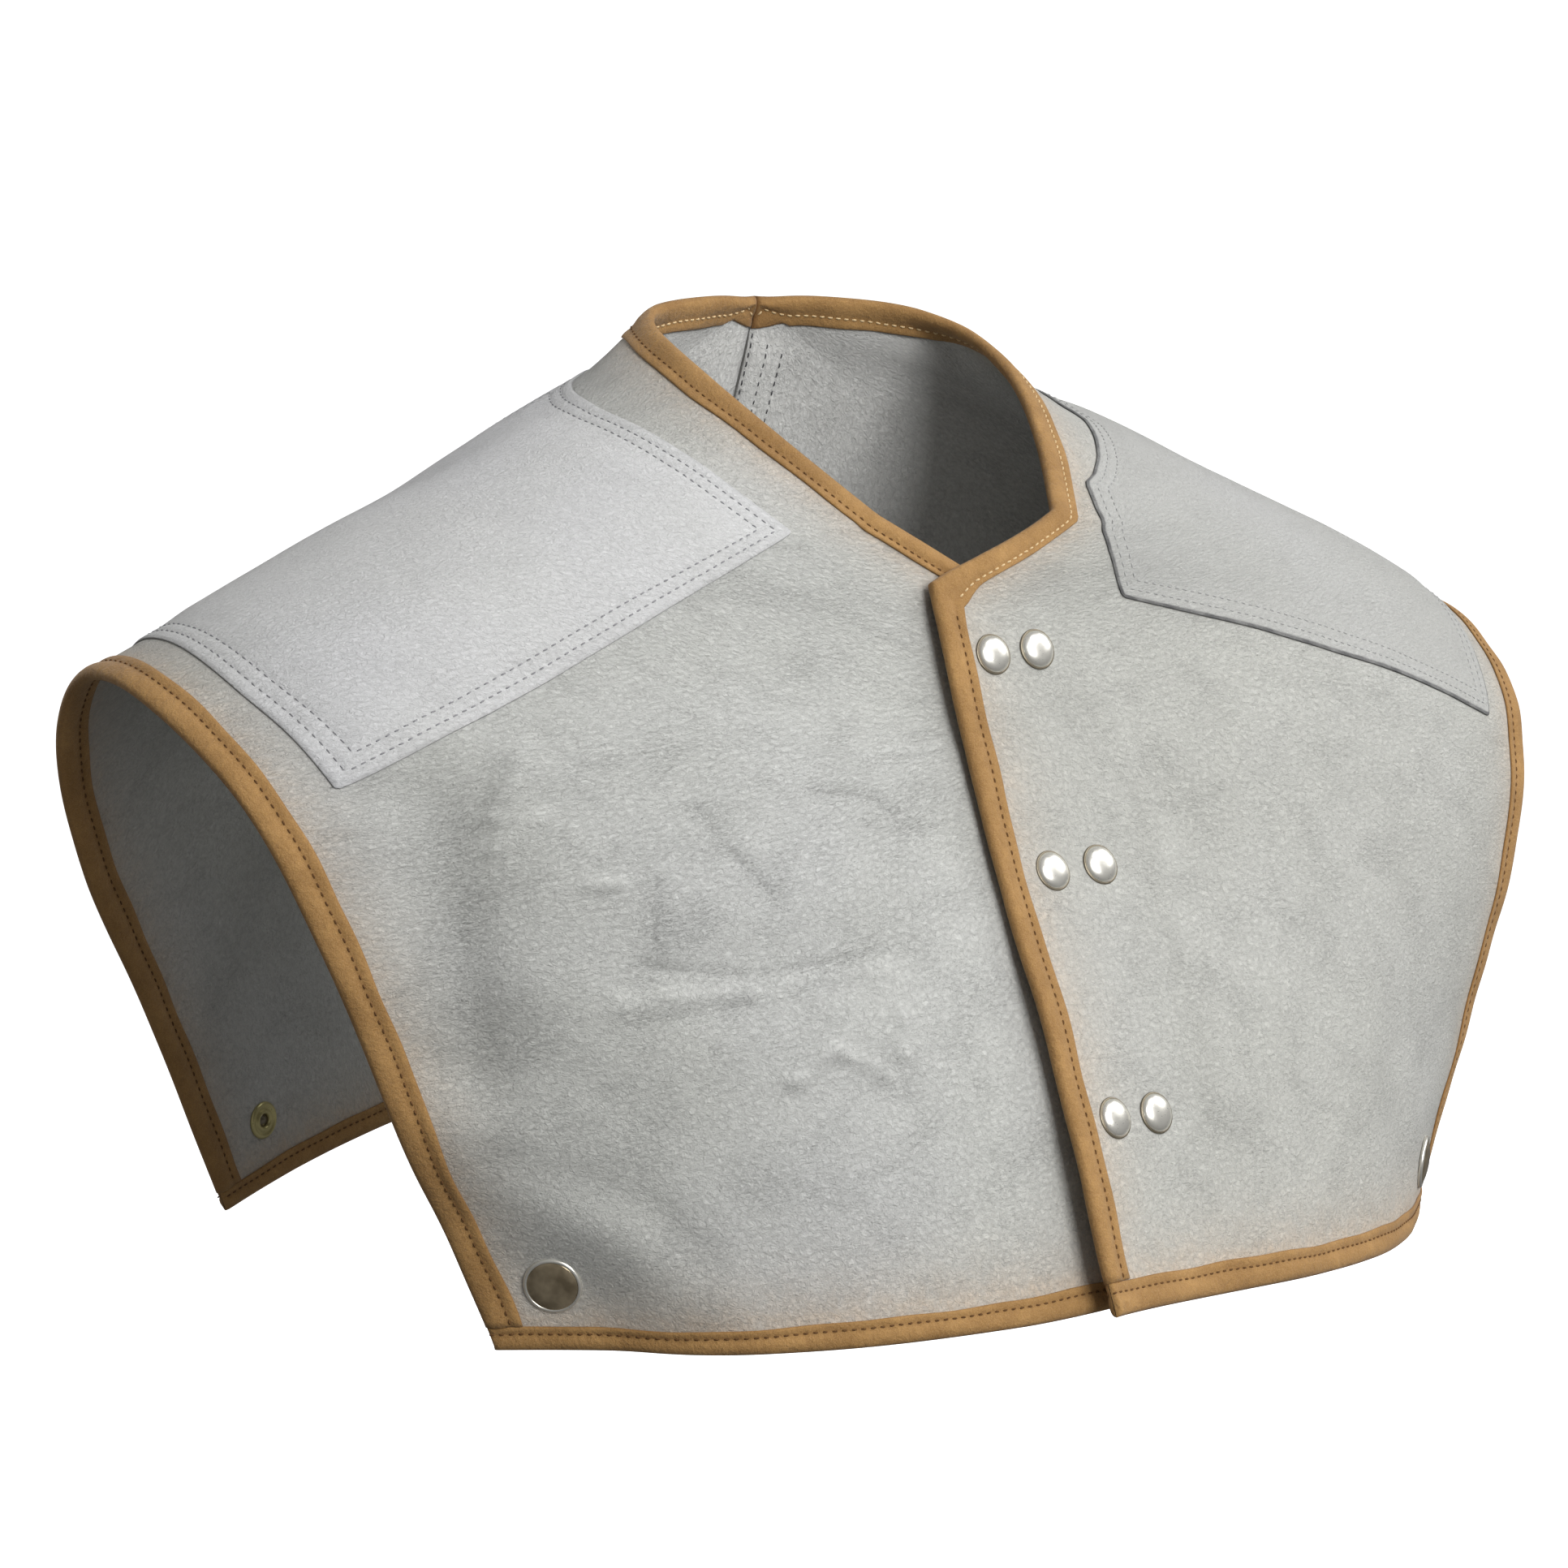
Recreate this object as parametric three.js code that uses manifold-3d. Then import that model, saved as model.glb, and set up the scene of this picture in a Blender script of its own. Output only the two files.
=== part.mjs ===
import * as THREE from 'three'
import { mergeVertices } from 'three/addons/utils/BufferGeometryUtils.js'
import Module from 'manifold-3d'

// Leather shoulder pad vest in its worn form, in millimetres.
// +Z is up, +X is the wearer's left and the wearer faces -Y.
// The origin is the middle of the neck at shoulder height.

// Driving sizes
const LEATHER_THICK = 1.8
const PAD_THICK = 2
const BINDING_THICK = 1.2
const BINDING_WIDTH = 12
const GAP = 0.3
const FRONT_LAP = 25
const SEAM_HALF_GAP = 0.3
const UNDER_LAP = 14
const LAP_LIFT = 3
const LAP_REACH = 0.34
const LAP_CURVE = 1.6
const NECK_CORNER_DROP = 20
const PANELS_ACROSS = 10
const PANEL_WIDTH = 270
const ROW_LENGTH = 80
const CORNER_REACH = 0.2

const SMALL_CAP_RADIUS = 7.5
const SMALL_CAP_HEIGHT = 3.2
const LARGE_CAP_RADIUS = 10
const LARGE_CAP_HEIGHT = 3.6
const POST_RADIUS = 2
const SOCKET_RADIUS = 5
const SOCKET_THICK = 1.6
const STUD_CLEARANCE = 0.6
const FLANGE_THICK = 1
const SIDE_SOCKET_RADIUS = 6.5
const SIDE_SOCKET_THICK = 2.6
const STUD_HEAD_RADIUS = 3.2
const STUD_HEIGHT = 3.8
const EYELET_RADIUS = 7
const EYELET_BARREL_RADIUS = 3
const EYELET_BORE_RADIUS = 2.3
const EYELET_THICK = 1.3

// Cross sections of one half, from the front hem over the shoulder to the back hem.
// facing: the way the section bows out in degrees, 0 front, 90 up, 180 back
// edge: the inner end of the section, on the front edge, the neck or the back seam
// side: the outer end of the section, on the open side edge
// bow: how far the leather stands out from a straight line between the ends
// lean: above 1 moves the bow towards the side edge
// swing: how far the section sweeps towards the front hem near its inner end
// corner: 1 where the inner edge turns a sharp corner
// under: how much wider the right front is, where the left one covers it
// tuck: how far the right front goes in under the left one
// steps: mesh rows up to the next section
const sections = [
  { name: 'front_hem', facing: 0, edge: [-FRONT_LAP, -194, -312], side: [209, -96, -318],
    bow: 31, lean: 1.25, swing: 0, corner: 0, under: UNDER_LAP, tuck: 22, steps: 3 },
  { name: 'front_low', facing: 0, edge: [-FRONT_LAP, -162, -232], side: [240, -93, -249],
    bow: 27, lean: 1.25, swing: 0, corner: 0, under: UNDER_LAP, tuck: 14, steps: 3 },
  { name: 'front_mid', facing: 5, edge: [-FRONT_LAP, -123, -151], side: [267, -90, -185],
    bow: 25, lean: 1.3, swing: 4, corner: 0, under: UNDER_LAP, tuck: 9, steps: 3 },
  { name: 'front_neck', facing: 25, edge: [-FRONT_LAP, -91, -70], side: [287, -71, -133],
    bow: 22, lean: 1.25, swing: 14, corner: 1, under: UNDER_LAP, tuck: 3, steps: 2 },
  { name: 'neck_front', facing: 55, edge: [40, -82, -47], side: [301, -26, -100],
    bow: 17, lean: 1.1, swing: 6, corner: 0.7, under: 0, tuck: 1, steps: 3 },
  { name: 'ridge', facing: 90, edge: [70, -20, 2], side: [303, 12, -97],
    bow: 5, lean: 1.2, swing: 0, corner: 0, under: 0, tuck: 0, steps: 3 },
  { name: 'neck_back', facing: 125, edge: [62, 26, 25], side: [296, 42, -125],
    bow: 2, lean: 1.2, swing: 0, corner: 0, under: 0, tuck: 0, steps: 3 },
  { name: 'back_neck', facing: 150, edge: [SEAM_HALF_GAP, 48, 32], side: [278, 57, -171],
    bow: 10, lean: 1.3, swing: 0, corner: 1, under: 0, tuck: 0, steps: 4 },
  { name: 'back_mid', facing: 170, edge: [SEAM_HALF_GAP, 98, -110], side: [247, 72, -224],
    bow: 15, lean: 1.25, swing: 0, corner: 0, under: 0, tuck: 0, steps: 4 },
  { name: 'back_hem', facing: 155, edge: [SEAM_HALF_GAP, 113, -270], side: [209, 88, -300],
    bow: 15, lean: 1.2, swing: 0, corner: 0, under: 0, tuck: 0, steps: 0 },
]
const LAST_ROW = sections.length - 1
const FRONT_NECK_ROW = sections.findIndex((s) => s.name === 'front_neck')
const BACK_NECK_ROW = sections.findIndex((s) => s.name === 'back_neck')

// Soft folds and dents: from and to are places on a half, across and along it.
// rise is the height of the fold, below zero for a hollow, and reach is its half width.
const folds = [
  { name: 'neck_hollow', halves: ['right', 'left'],
    from: [0.14, 5.2], to: [0.14, 6.6], rise: -4.5, reach: 28 },
  { name: 'shoulder_dip', halves: ['right'],
    from: [0.25, 5.6], to: [0.4, 5.5], rise: -3, reach: 30 },
  { name: 'armhole_valley', halves: ['right'],
    from: [0.84, 2.75], to: [0.91, 1.45], rise: -5, reach: 22 },
  { name: 'corner_ridge', halves: ['right'],
    from: [0.92, 0.96], to: [0.76, 0.41], rise: 4, reach: 20 },
  { name: 'corner_bend', halves: ['right'],
    from: [0.98, 0.55], to: [0.86, 0.05], rise: -5, reach: 30 },
  { name: 'waist_crease', halves: ['right'],
    from: [0.68, 1.74], to: [0.385, 1.65], rise: -3, reach: 15 },
  { name: 'left_drape', halves: ['left'],
    from: [0.36, 1.2], to: [0.34, 0.3], rise: 3.5, reach: 22 },
  { name: 'back_drape', halves: ['right', 'left'],
    from: [0.5, 8.9], to: [0.45, 7.7], rise: 4, reach: 36 },
]

const halves = [
  { name: 'right', sign: -1 },
  { name: 'left', sign: 1 },
]

// Edges of the shoulder pads, row by row.
// inner and outer are the two ends of a row, as places across and along a half.
const padRows = {
  right: [
    { name: 'front', inner: [0.13, 4.02], outer: [0.915, 2.97] },
    { name: 'chest', inner: [0.13, 4.5], outer: [0.915, 3.7] },
    { name: 'ridge', inner: [0.145, 5.2], outer: [0.905, 4.7] },
    { name: 'back', inner: [0.15, 6.3], outer: [0.9, 6.1] },
  ],
  left: [
    { name: 'front', inner: [0.22, 3.31], outer: [0.915, 2.85] },
    { name: 'chest', inner: [0.105, 3.81], outer: [0.92, 3.3] },
    { name: 'notch', inner: [0.066, 4.2], outer: [0.92, 3.7] },
    { name: 'bulge', inner: [0.1, 4.42], outer: [0.915, 4.2] },
    { name: 'ridge', inner: [0.13, 4.76], outer: [0.91, 4.7] },
    { name: 'back', inner: [0.15, 6.3], outer: [0.9, 6.1] },
  ],
}

// Small caps on the left front, in pairs from the hem up.
const frontSnaps = [
  { name: '1', place: [0.081, 0.77] },
  { name: '2', place: [0.155, 0.775] },
  { name: '3', place: [0.085, 1.83] },
  { name: '4', place: [0.16, 1.87] },
  { name: '5', place: [0.068, 2.815] },
  { name: '6', place: [0.132, 2.89] },
]
const sideSnaps = { right: [0.908, 0.305], left: [0.85, 0.31] }
const backSnap = [0.865, 8.745]

const materials = {
  suede: new THREE.MeshStandardMaterial({ color: 0xc6c6c1, roughness: 0.95, metalness: 0 }),
  tan: new THREE.MeshStandardMaterial({ color: 0xb8874f, roughness: 0.8, metalness: 0 }),
  nickel: new THREE.MeshStandardMaterial({ color: 0xc9c8c3, roughness: 0.25, metalness: 1 }),
  brass: new THREE.MeshStandardMaterial({ color: 0xa79b62, roughness: 0.35, metalness: 1 }),
}

const wasm = await Module()
wasm.setup()
const group = new THREE.Group()
group.name = 'leather_shoulder_pad_vest'

function addPiece(name, geometry, material) {
  const mesh = new THREE.Mesh(geometry, material)
  mesh.name = name
  group.add(mesh)
}

// Surface of one half

function sectionFrame(section, half) {
  const edge = new THREE.Vector3(...section.edge)
  const side = new THREE.Vector3(...section.side)
  if (half.name === 'right' && section.name === 'front_neck') edge.z -= NECK_CORNER_DROP
  const facing = THREE.MathUtils.degToRad(section.facing)
  const ahead = new THREE.Vector3(0, -Math.sin(facing), -Math.cos(facing))
  const chord = side.clone().sub(edge)
  const along = chord.clone().normalize()
  const wider = half.name === 'right' ? section.under / chord.length() : 0
  const out = new THREE.Vector3(0, -Math.cos(facing), Math.sin(facing))
  out.addScaledVector(along, -out.dot(along)).normalize()
  return { ...section, edge, chord, out, ahead, wider }
}

function sectionPoint(frame, u) {
  const reach = u * (1 + frame.wider) - frame.wider
  const bow = frame.bow * Math.sin(Math.PI * Math.max(0, reach) ** frame.lean)
  const swing = frame.swing * Math.sin(Math.PI * Math.sqrt(u))
  return frame.edge.clone().addScaledVector(frame.chord, reach).addScaledVector(frame.out, bow)
    .addScaledVector(frame.ahead, swing)
}

// Slope of the loft at a section, on the side of the section that `step` points to.
function loftSlope(frames, row, u, step) {
  const here = sectionPoint(frames[row], u)
  const before = row > 0 ? here.clone().sub(sectionPoint(frames[row - 1], u)) : null
  const after = row < LAST_ROW ? sectionPoint(frames[row + 1], u).sub(here) : null
  if (!before) return after
  if (!after) return before
  const sharp = frames[row].corner * Math.max(0, 1 - u / CORNER_REACH)
  const smooth = before.clone().add(after).multiplyScalar(0.5)
  return smooth.lerp(step > 0 ? after : before, sharp)
}

function drapedPoint(frames, sign, u, v) {
  const row = Math.min(LAST_ROW - 1, Math.floor(v))
  const t = v - row
  const start = sectionPoint(frames[row], u)
  const end = sectionPoint(frames[row + 1], u)
  const leave = loftSlope(frames, row, u, 1)
  const arrive = loftSlope(frames, row + 1, u, -1)
  const point = start.multiplyScalar(2 * t ** 3 - 3 * t ** 2 + 1)
  point.addScaledVector(leave, t ** 3 - 2 * t ** 2 + t)
  point.addScaledVector(end, -2 * t ** 3 + 3 * t ** 2)
  point.addScaledVector(arrive, t ** 3 - t ** 2)
  point.x *= sign
  return point
}

function normalAt(surface, sign, u, v) {
  const across = surface(Math.min(1, u + 0.004), v).sub(surface(Math.max(0, u - 0.004), v))
  const along = surface(u, Math.min(LAST_ROW, v + 0.02)).sub(surface(u, Math.max(0, v - 0.02)))
  return across.cross(along).multiplyScalar(sign).normalize()
}

function foldRise(half, u, v) {
  const place = new THREE.Vector2(u * PANEL_WIDTH, v * ROW_LENGTH)
  let rise = 0
  for (const fold of folds.filter((f) => f.halves.includes(half.name))) {
    const from = new THREE.Vector2(fold.from[0] * PANEL_WIDTH, fold.from[1] * ROW_LENGTH)
    const run = new THREE.Vector2(fold.to[0] * PANEL_WIDTH, fold.to[1] * ROW_LENGTH).sub(from)
    const share = THREE.MathUtils.clamp(place.clone().sub(from).dot(run) / run.lengthSq(), 0, 1)
    const away = place.distanceTo(from.addScaledVector(run, share))
    rise += fold.rise * Math.exp(-((away / fold.reach) ** 2))
  }
  return rise
}

// The left front is lifted forwards over the right one, which is tucked back.
function lapShift(half, u, v) {
  const share = Math.max(0, 1 - u / LAP_REACH) ** LAP_CURVE
  if (half.name === 'left') {
    const fade = THREE.MathUtils.smoothstep(FRONT_NECK_ROW + 1.2 - v, 0, 1)
    return -LAP_LIFT * share * fade
  }
  const row = Math.min(LAST_ROW - 1, Math.floor(v))
  const tuck = THREE.MathUtils.lerp(sections[row].tuck, sections[row + 1].tuck, v - row)
  return tuck * share
}

function makeHalf(half) {
  const frames = sections.map((section) => sectionFrame(section, half))
  const draped = (u, v) => drapedPoint(frames, half.sign, u, v)
  const at = (u, v) => {
    const point = draped(u, v).addScaledVector(normalAt(draped, half.sign, u, v), foldRise(half, u, v))
    point.y += lapShift(half, u, v)
    return point
  }
  const normal = (u, v) => {
    const direction = normalAt(at, half.sign, u, v)
    if (u === 0 && v >= BACK_NECK_ROW) direction.x = 0
    return direction.normalize()
  }
  const lifted = (u, v, height) => at(u, v).addScaledVector(normal(u, v), height)
  const made = { ...half, at, normal, lifted }
  made.hemBand = {
    front: BINDING_WIDTH / at(0.5, 0.1).distanceTo(at(0.5, 0)) * 0.1,
    back: BINDING_WIDTH / at(0.5, LAST_ROW).distanceTo(at(0.5, LAST_ROW - 0.1)) * 0.1,
  }
  made.lines = alongLines(made)
  return made
}

// Places of the mesh rows along a half, with one row under each hem binding.
function alongLines(half) {
  const lines = [0, half.hemBand.front]
  sections.forEach((section, row) => {
    for (let step = 0; step < section.steps; step += 1) {
      const v = row + step / section.steps
      if (v > half.hemBand.front && v < LAST_ROW - half.hemBand.back) lines.push(v)
    }
  })
  return [...lines, LAST_ROW - half.hemBand.back, LAST_ROW]
}

// Share of a section that the binding covers at its inner end (u 0) or its side end (u 1).
function bandShare(half, u, v) {
  const here = half.at(u, v)
  const inward = half.at(Math.abs(u - 0.01), v).sub(here).multiplyScalar(100)
  const next = half.at(u, Math.min(LAST_ROW, v + 0.02)).sub(here)
  const last = half.at(u, Math.max(0, v - 0.02)).sub(here)
  const reaches = [next, last].filter((run) => run.length() > 0)
    .map((run) => inward.clone().cross(run.normalize()).length())
  return BINDING_WIDTH / Math.min(...reaches)
}

// Places of the mesh columns across a half at one row, with one column under each edge binding.
function acrossLines(half, v) {
  const inner = bandShare(half, 0, v)
  const outer = 1 - bandShare(half, 1, v)
  const lines = [0]
  for (let i = 1; i < PANELS_ACROSS; i += 1) {
    lines.push(THREE.MathUtils.lerp(inner, outer, (i - 1) / (PANELS_ACROSS - 2)))
  }
  return [...lines, 1]
}

// Solids

function geometryOf(points, faces) {
  const geometry = new THREE.BufferGeometry().setFromPoints(points)
  geometry.setIndex(faces.flat())
  geometry.computeVertexNormals()
  return geometry
}

// Closed slab between two layers of points on the same mesh of rows and columns.
function slab(top, bottom, sign) {
  const rows = top.length
  const columns = top[0].length
  const points = [...top.flat(), ...bottom.flat()]
  const faces = []
  const addFace = (a, b, c) => faces.push(sign > 0 ? [a, b, c] : [a, c, b])
  const index = (layer, j, i) => layer * rows * columns + j * columns + i
  for (let j = 0; j + 1 < rows; j += 1) {
    for (let i = 0; i + 1 < columns; i += 1) {
      addFace(index(0, j, i), index(0, j, i + 1), index(0, j + 1, i + 1))
      addFace(index(0, j, i), index(0, j + 1, i + 1), index(0, j + 1, i))
      addFace(index(1, j, i), index(1, j + 1, i + 1), index(1, j, i + 1))
      addFace(index(1, j, i), index(1, j + 1, i), index(1, j + 1, i + 1))
    }
  }
  const rim = []
  for (let i = 0; i + 1 < columns; i += 1) rim.push([0, i])
  for (let j = 0; j + 1 < rows; j += 1) rim.push([j, columns - 1])
  for (let i = columns - 1; i > 0; i -= 1) rim.push([rows - 1, i])
  for (let j = rows - 1; j > 0; j -= 1) rim.push([j, 0])
  rim.forEach(([j, i], k) => {
    const [jj, ii] = rim[(k + 1) % rim.length]
    const [above, below] = [index(0, j, i), index(1, j, i)]
    const [nextAbove, nextBelow] = [index(0, jj, ii), index(1, jj, ii)]
    addFace(nextAbove, above, j === jj ? below : nextBelow)
    addFace(j === jj ? nextAbove : above, below, nextBelow)
  })
  return geometryOf(points, faces)
}

// Leather layer on a half between two heights over its middle surface.
// It has the mesh rows from `first` to `last`.
function leatherLayer(half, low, high, first, last) {
  const top = []
  const bottom = []
  for (const v of half.lines.filter((line) => line >= first && line <= last)) {
    const us = acrossLines(half, v)
    top.push(us.map((u) => half.lifted(u, v, high)))
    bottom.push(us.map((u) => half.lifted(u, v, low)))
  }
  return slab(top, bottom, half.sign)
}

function toSolid(geometry) {
  const bare = geometry.clone()
  bare.deleteAttribute('normal')
  bare.deleteAttribute('uv')
  const merged = mergeVertices(bare, 1e-4)
  const mesh = new wasm.Mesh({
    numProp: 3,
    vertProperties: new Float32Array(merged.attributes.position.array),
    triVerts: new Uint32Array(merged.index.array),
  })
  return new wasm.Manifold(mesh)
}

function toGeometry(solid) {
  const mesh = solid.getMesh()
  const geometry = new THREE.BufferGeometry()
  geometry.setAttribute('position', new THREE.BufferAttribute(mesh.vertProperties, 3))
  geometry.setIndex(new THREE.BufferAttribute(mesh.triVerts, 1))
  geometry.computeVertexNormals()
  return geometry
}

// Turns a geometry made around +Y so that it stands on a point along a direction.
function stand(geometry, point, direction) {
  const turn = new THREE.Quaternion().setFromUnitVectors(new THREE.Vector3(0, 1, 0), direction)
  return geometry.applyQuaternion(turn).translate(point.x, point.y, point.z)
}

// Leather halves with their snap holes

function holeCutter(half, place, radius) {
  const hole = new THREE.CylinderGeometry(radius, radius, 14, 8)
  return toSolid(stand(hole, half.at(...place), half.normal(...place)))
}

// Point of the flat mesh facet at a place on a half.
function facetPoint(half, u, v) {
  const j = Math.max(0, half.lines.findIndex((line) => line >= v) - 1)
  const [v0, v1] = [half.lines[j], half.lines[j + 1]]
  const [near, far] = [acrossLines(half, v0), acrossLines(half, v1)]
  const t = (v - v0) / (v1 - v0)
  const lines = near.map((line, k) => THREE.MathUtils.lerp(line, far[k], t))
  const i = Math.max(0, lines.findIndex((line) => line >= u) - 1)
  const s = (u - lines[i]) / (lines[i + 1] - lines[i])
  const start = half.at(near[i], v0)
  const end = half.at(far[i + 1], v1)
  const turn = s > t ? half.at(near[i + 1], v0) : half.at(far[i], v1)
  const [first, second] = s > t ? [s, t] : [t, s]
  const point = start.clone().addScaledVector(turn.clone().sub(start), first)
  return point.addScaledVector(end.sub(turn), second)
}

// Highest and lowest level of the leather's two faces around a snap, measured along its axis.
function seatOf(half, place, radius) {
  const [u, v] = place
  const centre = half.at(u, v)
  const axis = half.normal(u, v)
  const across = 0.01 / half.at(u + 0.01, v).distanceTo(centre)
  const along = 0.01 / half.at(u, v + 0.01).distanceTo(centre)
  const levels = [0]
  for (let k = 0; k < 16; k += 1) {
    const angle = k / 16 * 2 * Math.PI
    for (const reach of [radius / 2, radius]) {
      const edgeU = u + reach * across * Math.cos(angle)
      const edgeV = v + reach * along * Math.sin(angle)
      levels.push(facetPoint(half, edgeU, edgeV).sub(centre).dot(axis))
    }
  }
  const outer = Math.max(...levels) + LEATHER_THICK / 2 + GAP
  const inner = Math.min(...levels) - LEATHER_THICK / 2 - GAP
  return { centre, axis, outer, inner }
}

// Place on a half that lies straight below a point, along a direction.
function placeBelow(half, point, direction, start) {
  let [u, v] = start
  const level = new THREE.Vector3(1, 0, 0).cross(direction).normalize()
  const across = direction.clone().cross(level).normalize()
  const miss = (uu, vv) => {
    const away = half.at(uu, vv).sub(point)
    return [away.dot(across), away.dot(level)]
  }
  for (let turn = 0; turn < 12; turn += 1) {
    const here = miss(u, v)
    const right = miss(u + 0.005, v).map((value, k) => (value - here[k]) / 0.005)
    const up = miss(u, v + 0.01).map((value, k) => (value - here[k]) / 0.01)
    const area = right[0] * up[1] - right[1] * up[0]
    u -= (here[0] * up[1] - here[1] * up[0]) / area
    v -= (right[0] * here[1] - right[1] * here[0]) / area
    u = THREE.MathUtils.clamp(u, 0.01, 0.99)
  }
  return [u, v]
}

const rightHalf = makeHalf(halves[0])
const leftHalf = makeHalf(halves[1])
const bothHalves = [rightHalf, leftHalf]

for (const snap of frontSnaps) {
  snap.point = leftHalf.at(...snap.place)
  snap.direction = leftHalf.normal(...snap.place)
  snap.under = placeBelow(rightHalf, snap.point, snap.direction, [0.1, snap.place[1]])
}

for (const half of bothHalves) {
  let body = toSolid(leatherLayer(half, -LEATHER_THICK / 2, LEATHER_THICK / 2, 0, LAST_ROW))
  for (const snap of frontSnaps) {
    const place = half === leftHalf ? snap.place : snap.under
    body = body.subtract(holeCutter(half, place, POST_RADIUS + GAP))
  }
  body = body.subtract(holeCutter(half, sideSnaps[half.name], POST_RADIUS + GAP))
  body = body.subtract(holeCutter(half, backSnap, EYELET_BARREL_RADIUS + GAP))
  addPiece(`body_${half.name}`, toGeometry(body), materials.suede)
}

// Shoulder pads: a layer over the leather, cut to the outline of the pad

function padPlace(half, across, along) {
  const rows = padRows[half.name]
  const row = Math.min(rows.length - 2, Math.floor(along))
  const end = (which) => {
    const from = new THREE.Vector2(...rows[row][which])
    return from.lerp(new THREE.Vector2(...rows[row + 1][which]), along - row)
  }
  return end('inner').lerp(end('outer'), across)
}

function padCutter(half) {
  const layer = (height) => {
    const points = []
    const rows = (padRows[half.name].length - 1) * 3
    for (let j = 0; j <= rows; j += 1) {
      const line = []
      for (let i = 0; i <= 8; i += 1) {
        const place = padPlace(half, i / 8, j / 3)
        line.push(half.lifted(place.x, place.y, height))
      }
      points.push(line)
    }
    return points
  }
  return toSolid(slab(layer(12), layer(-6), half.sign))
}

for (const half of bothHalves) {
  const low = LEATHER_THICK / 2 + GAP
  const layer = toSolid(leatherLayer(half, low, low + PAD_THICK, 2, 7))
  addPiece(`shoulder_pad_${half.name}`, toGeometry(layer.intersect(padCutter(half))), materials.suede)
}

// Binding: a strip folded around an edge
// reach: 0 at the leather's edge, 1 at the strip's own edge
// past: how far beyond the leather's edge
// height: above the leather's middle
const insideHeight = LEATHER_THICK / 2 + GAP
const outsideHeight = insideHeight + BINDING_THICK
const bindingProfile = [
  { reach: 1, past: 0, height: insideHeight },
  { reach: 1, past: 0, height: outsideHeight },
  { reach: 0, past: 0, height: outsideHeight },
  { reach: 0, past: GAP + BINDING_THICK, height: outsideHeight / 2 },
  { reach: 0, past: GAP + BINDING_THICK, height: -outsideHeight / 2 },
  { reach: 0, past: 0, height: -outsideHeight },
  { reach: 1, past: 0, height: -outsideHeight },
  { reach: 1, past: 0, height: -insideHeight },
  { reach: 0, past: GAP, height: -insideHeight },
  { reach: 0, past: GAP, height: insideHeight },
]

function bindingRing(half, station) {
  const edge = half.at(...station.edge)
  const band = half.at(...station.band)
  const inward = half.at(...station.towards ?? station.band).sub(edge).normalize()
  const edgeNormal = half.normal(...station.edge)
  const bandNormal = half.normal(...station.band)
  const shift = station.shift ?? new THREE.Vector3()
  return bindingProfile.map((corner) => {
    const base = corner.reach ? band : edge
    const normal = corner.reach ? bandNormal : edgeNormal
    const point = base.clone().addScaledVector(normal, corner.height)
    return point.addScaledVector(inward, -corner.past).add(shift)
  })
}

// Strip through its rings.
// handed: 1 where the fold lies to the left of the run, seen from outside, else -1
// split: 1 where the leather's mesh splits its squares from the fold forwards, else -1
function bindingStrip(half, { stations, handed, split }) {
  const rings = stations.map((station) => bindingRing(half, station))
  const count = bindingProfile.length
  const faces = []
  const addFace = (a, b, c) => faces.push(half.sign * handed > 0 ? [a, c, b] : [a, b, c])
  for (let j = 0; j + 1 < rings.length; j += 1) {
    for (let k = 0; k < count; k += 1) {
      const next = (k + 1) % count
      const towardsEdge = bindingProfile[k].reach > bindingProfile[next].reach
      const a = j * count + k
      const b = j * count + next
      const c = b + count
      const d = a + count
      if (towardsEdge === (split > 0)) {
        addFace(a, b, d)
        addFace(b, c, d)
      } else {
        addFace(a, b, c)
        addFace(a, c, d)
      }
    }
  }
  const outline = bindingProfile.map((corner) => (
    new THREE.Vector2(corner.reach * BINDING_WIDTH - corner.past, corner.height)))
  const first = (rings.length - 1) * count
  for (const [a, b, c] of THREE.ShapeUtils.triangulateShape(outline, [])) {
    addFace(a, c, b)
    addFace(first + a, first + b, first + c)
  }
  return geometryOf(rings.flat(), faces)
}

function edgeStation(half, u, v) {
  const share = bandShare(half, u, v)
  return { edge: [u, v], band: [Math.abs(u - share), v] }
}

function edgeStations(half, u, first, last) {
  const between = half.lines.filter((v) => v > first + 0.02 && v < last - 0.02)
  return [first, ...between, last].map((v) => edgeStation(half, u, v))
}

// Hem binding stations, with the strip's ends flush with the edge bindings.
function hemStations(half, v, bandV, overFront) {
  const stations = acrossLines(half, v).map((u) => ({ edge: [u, v], band: [u, bandV] }))
  const ends = overFront ? [0, stations.length - 1] : [stations.length - 1]
  for (const end of ends) {
    const beside = end === 0 ? 1 : end - 1
    const outward = half.at(...stations[end].edge).sub(half.at(...stations[beside].edge)).normalize()
    stations[end].shift = outward.multiplyScalar(GAP + BINDING_THICK)
  }
  return stations
}

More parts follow.
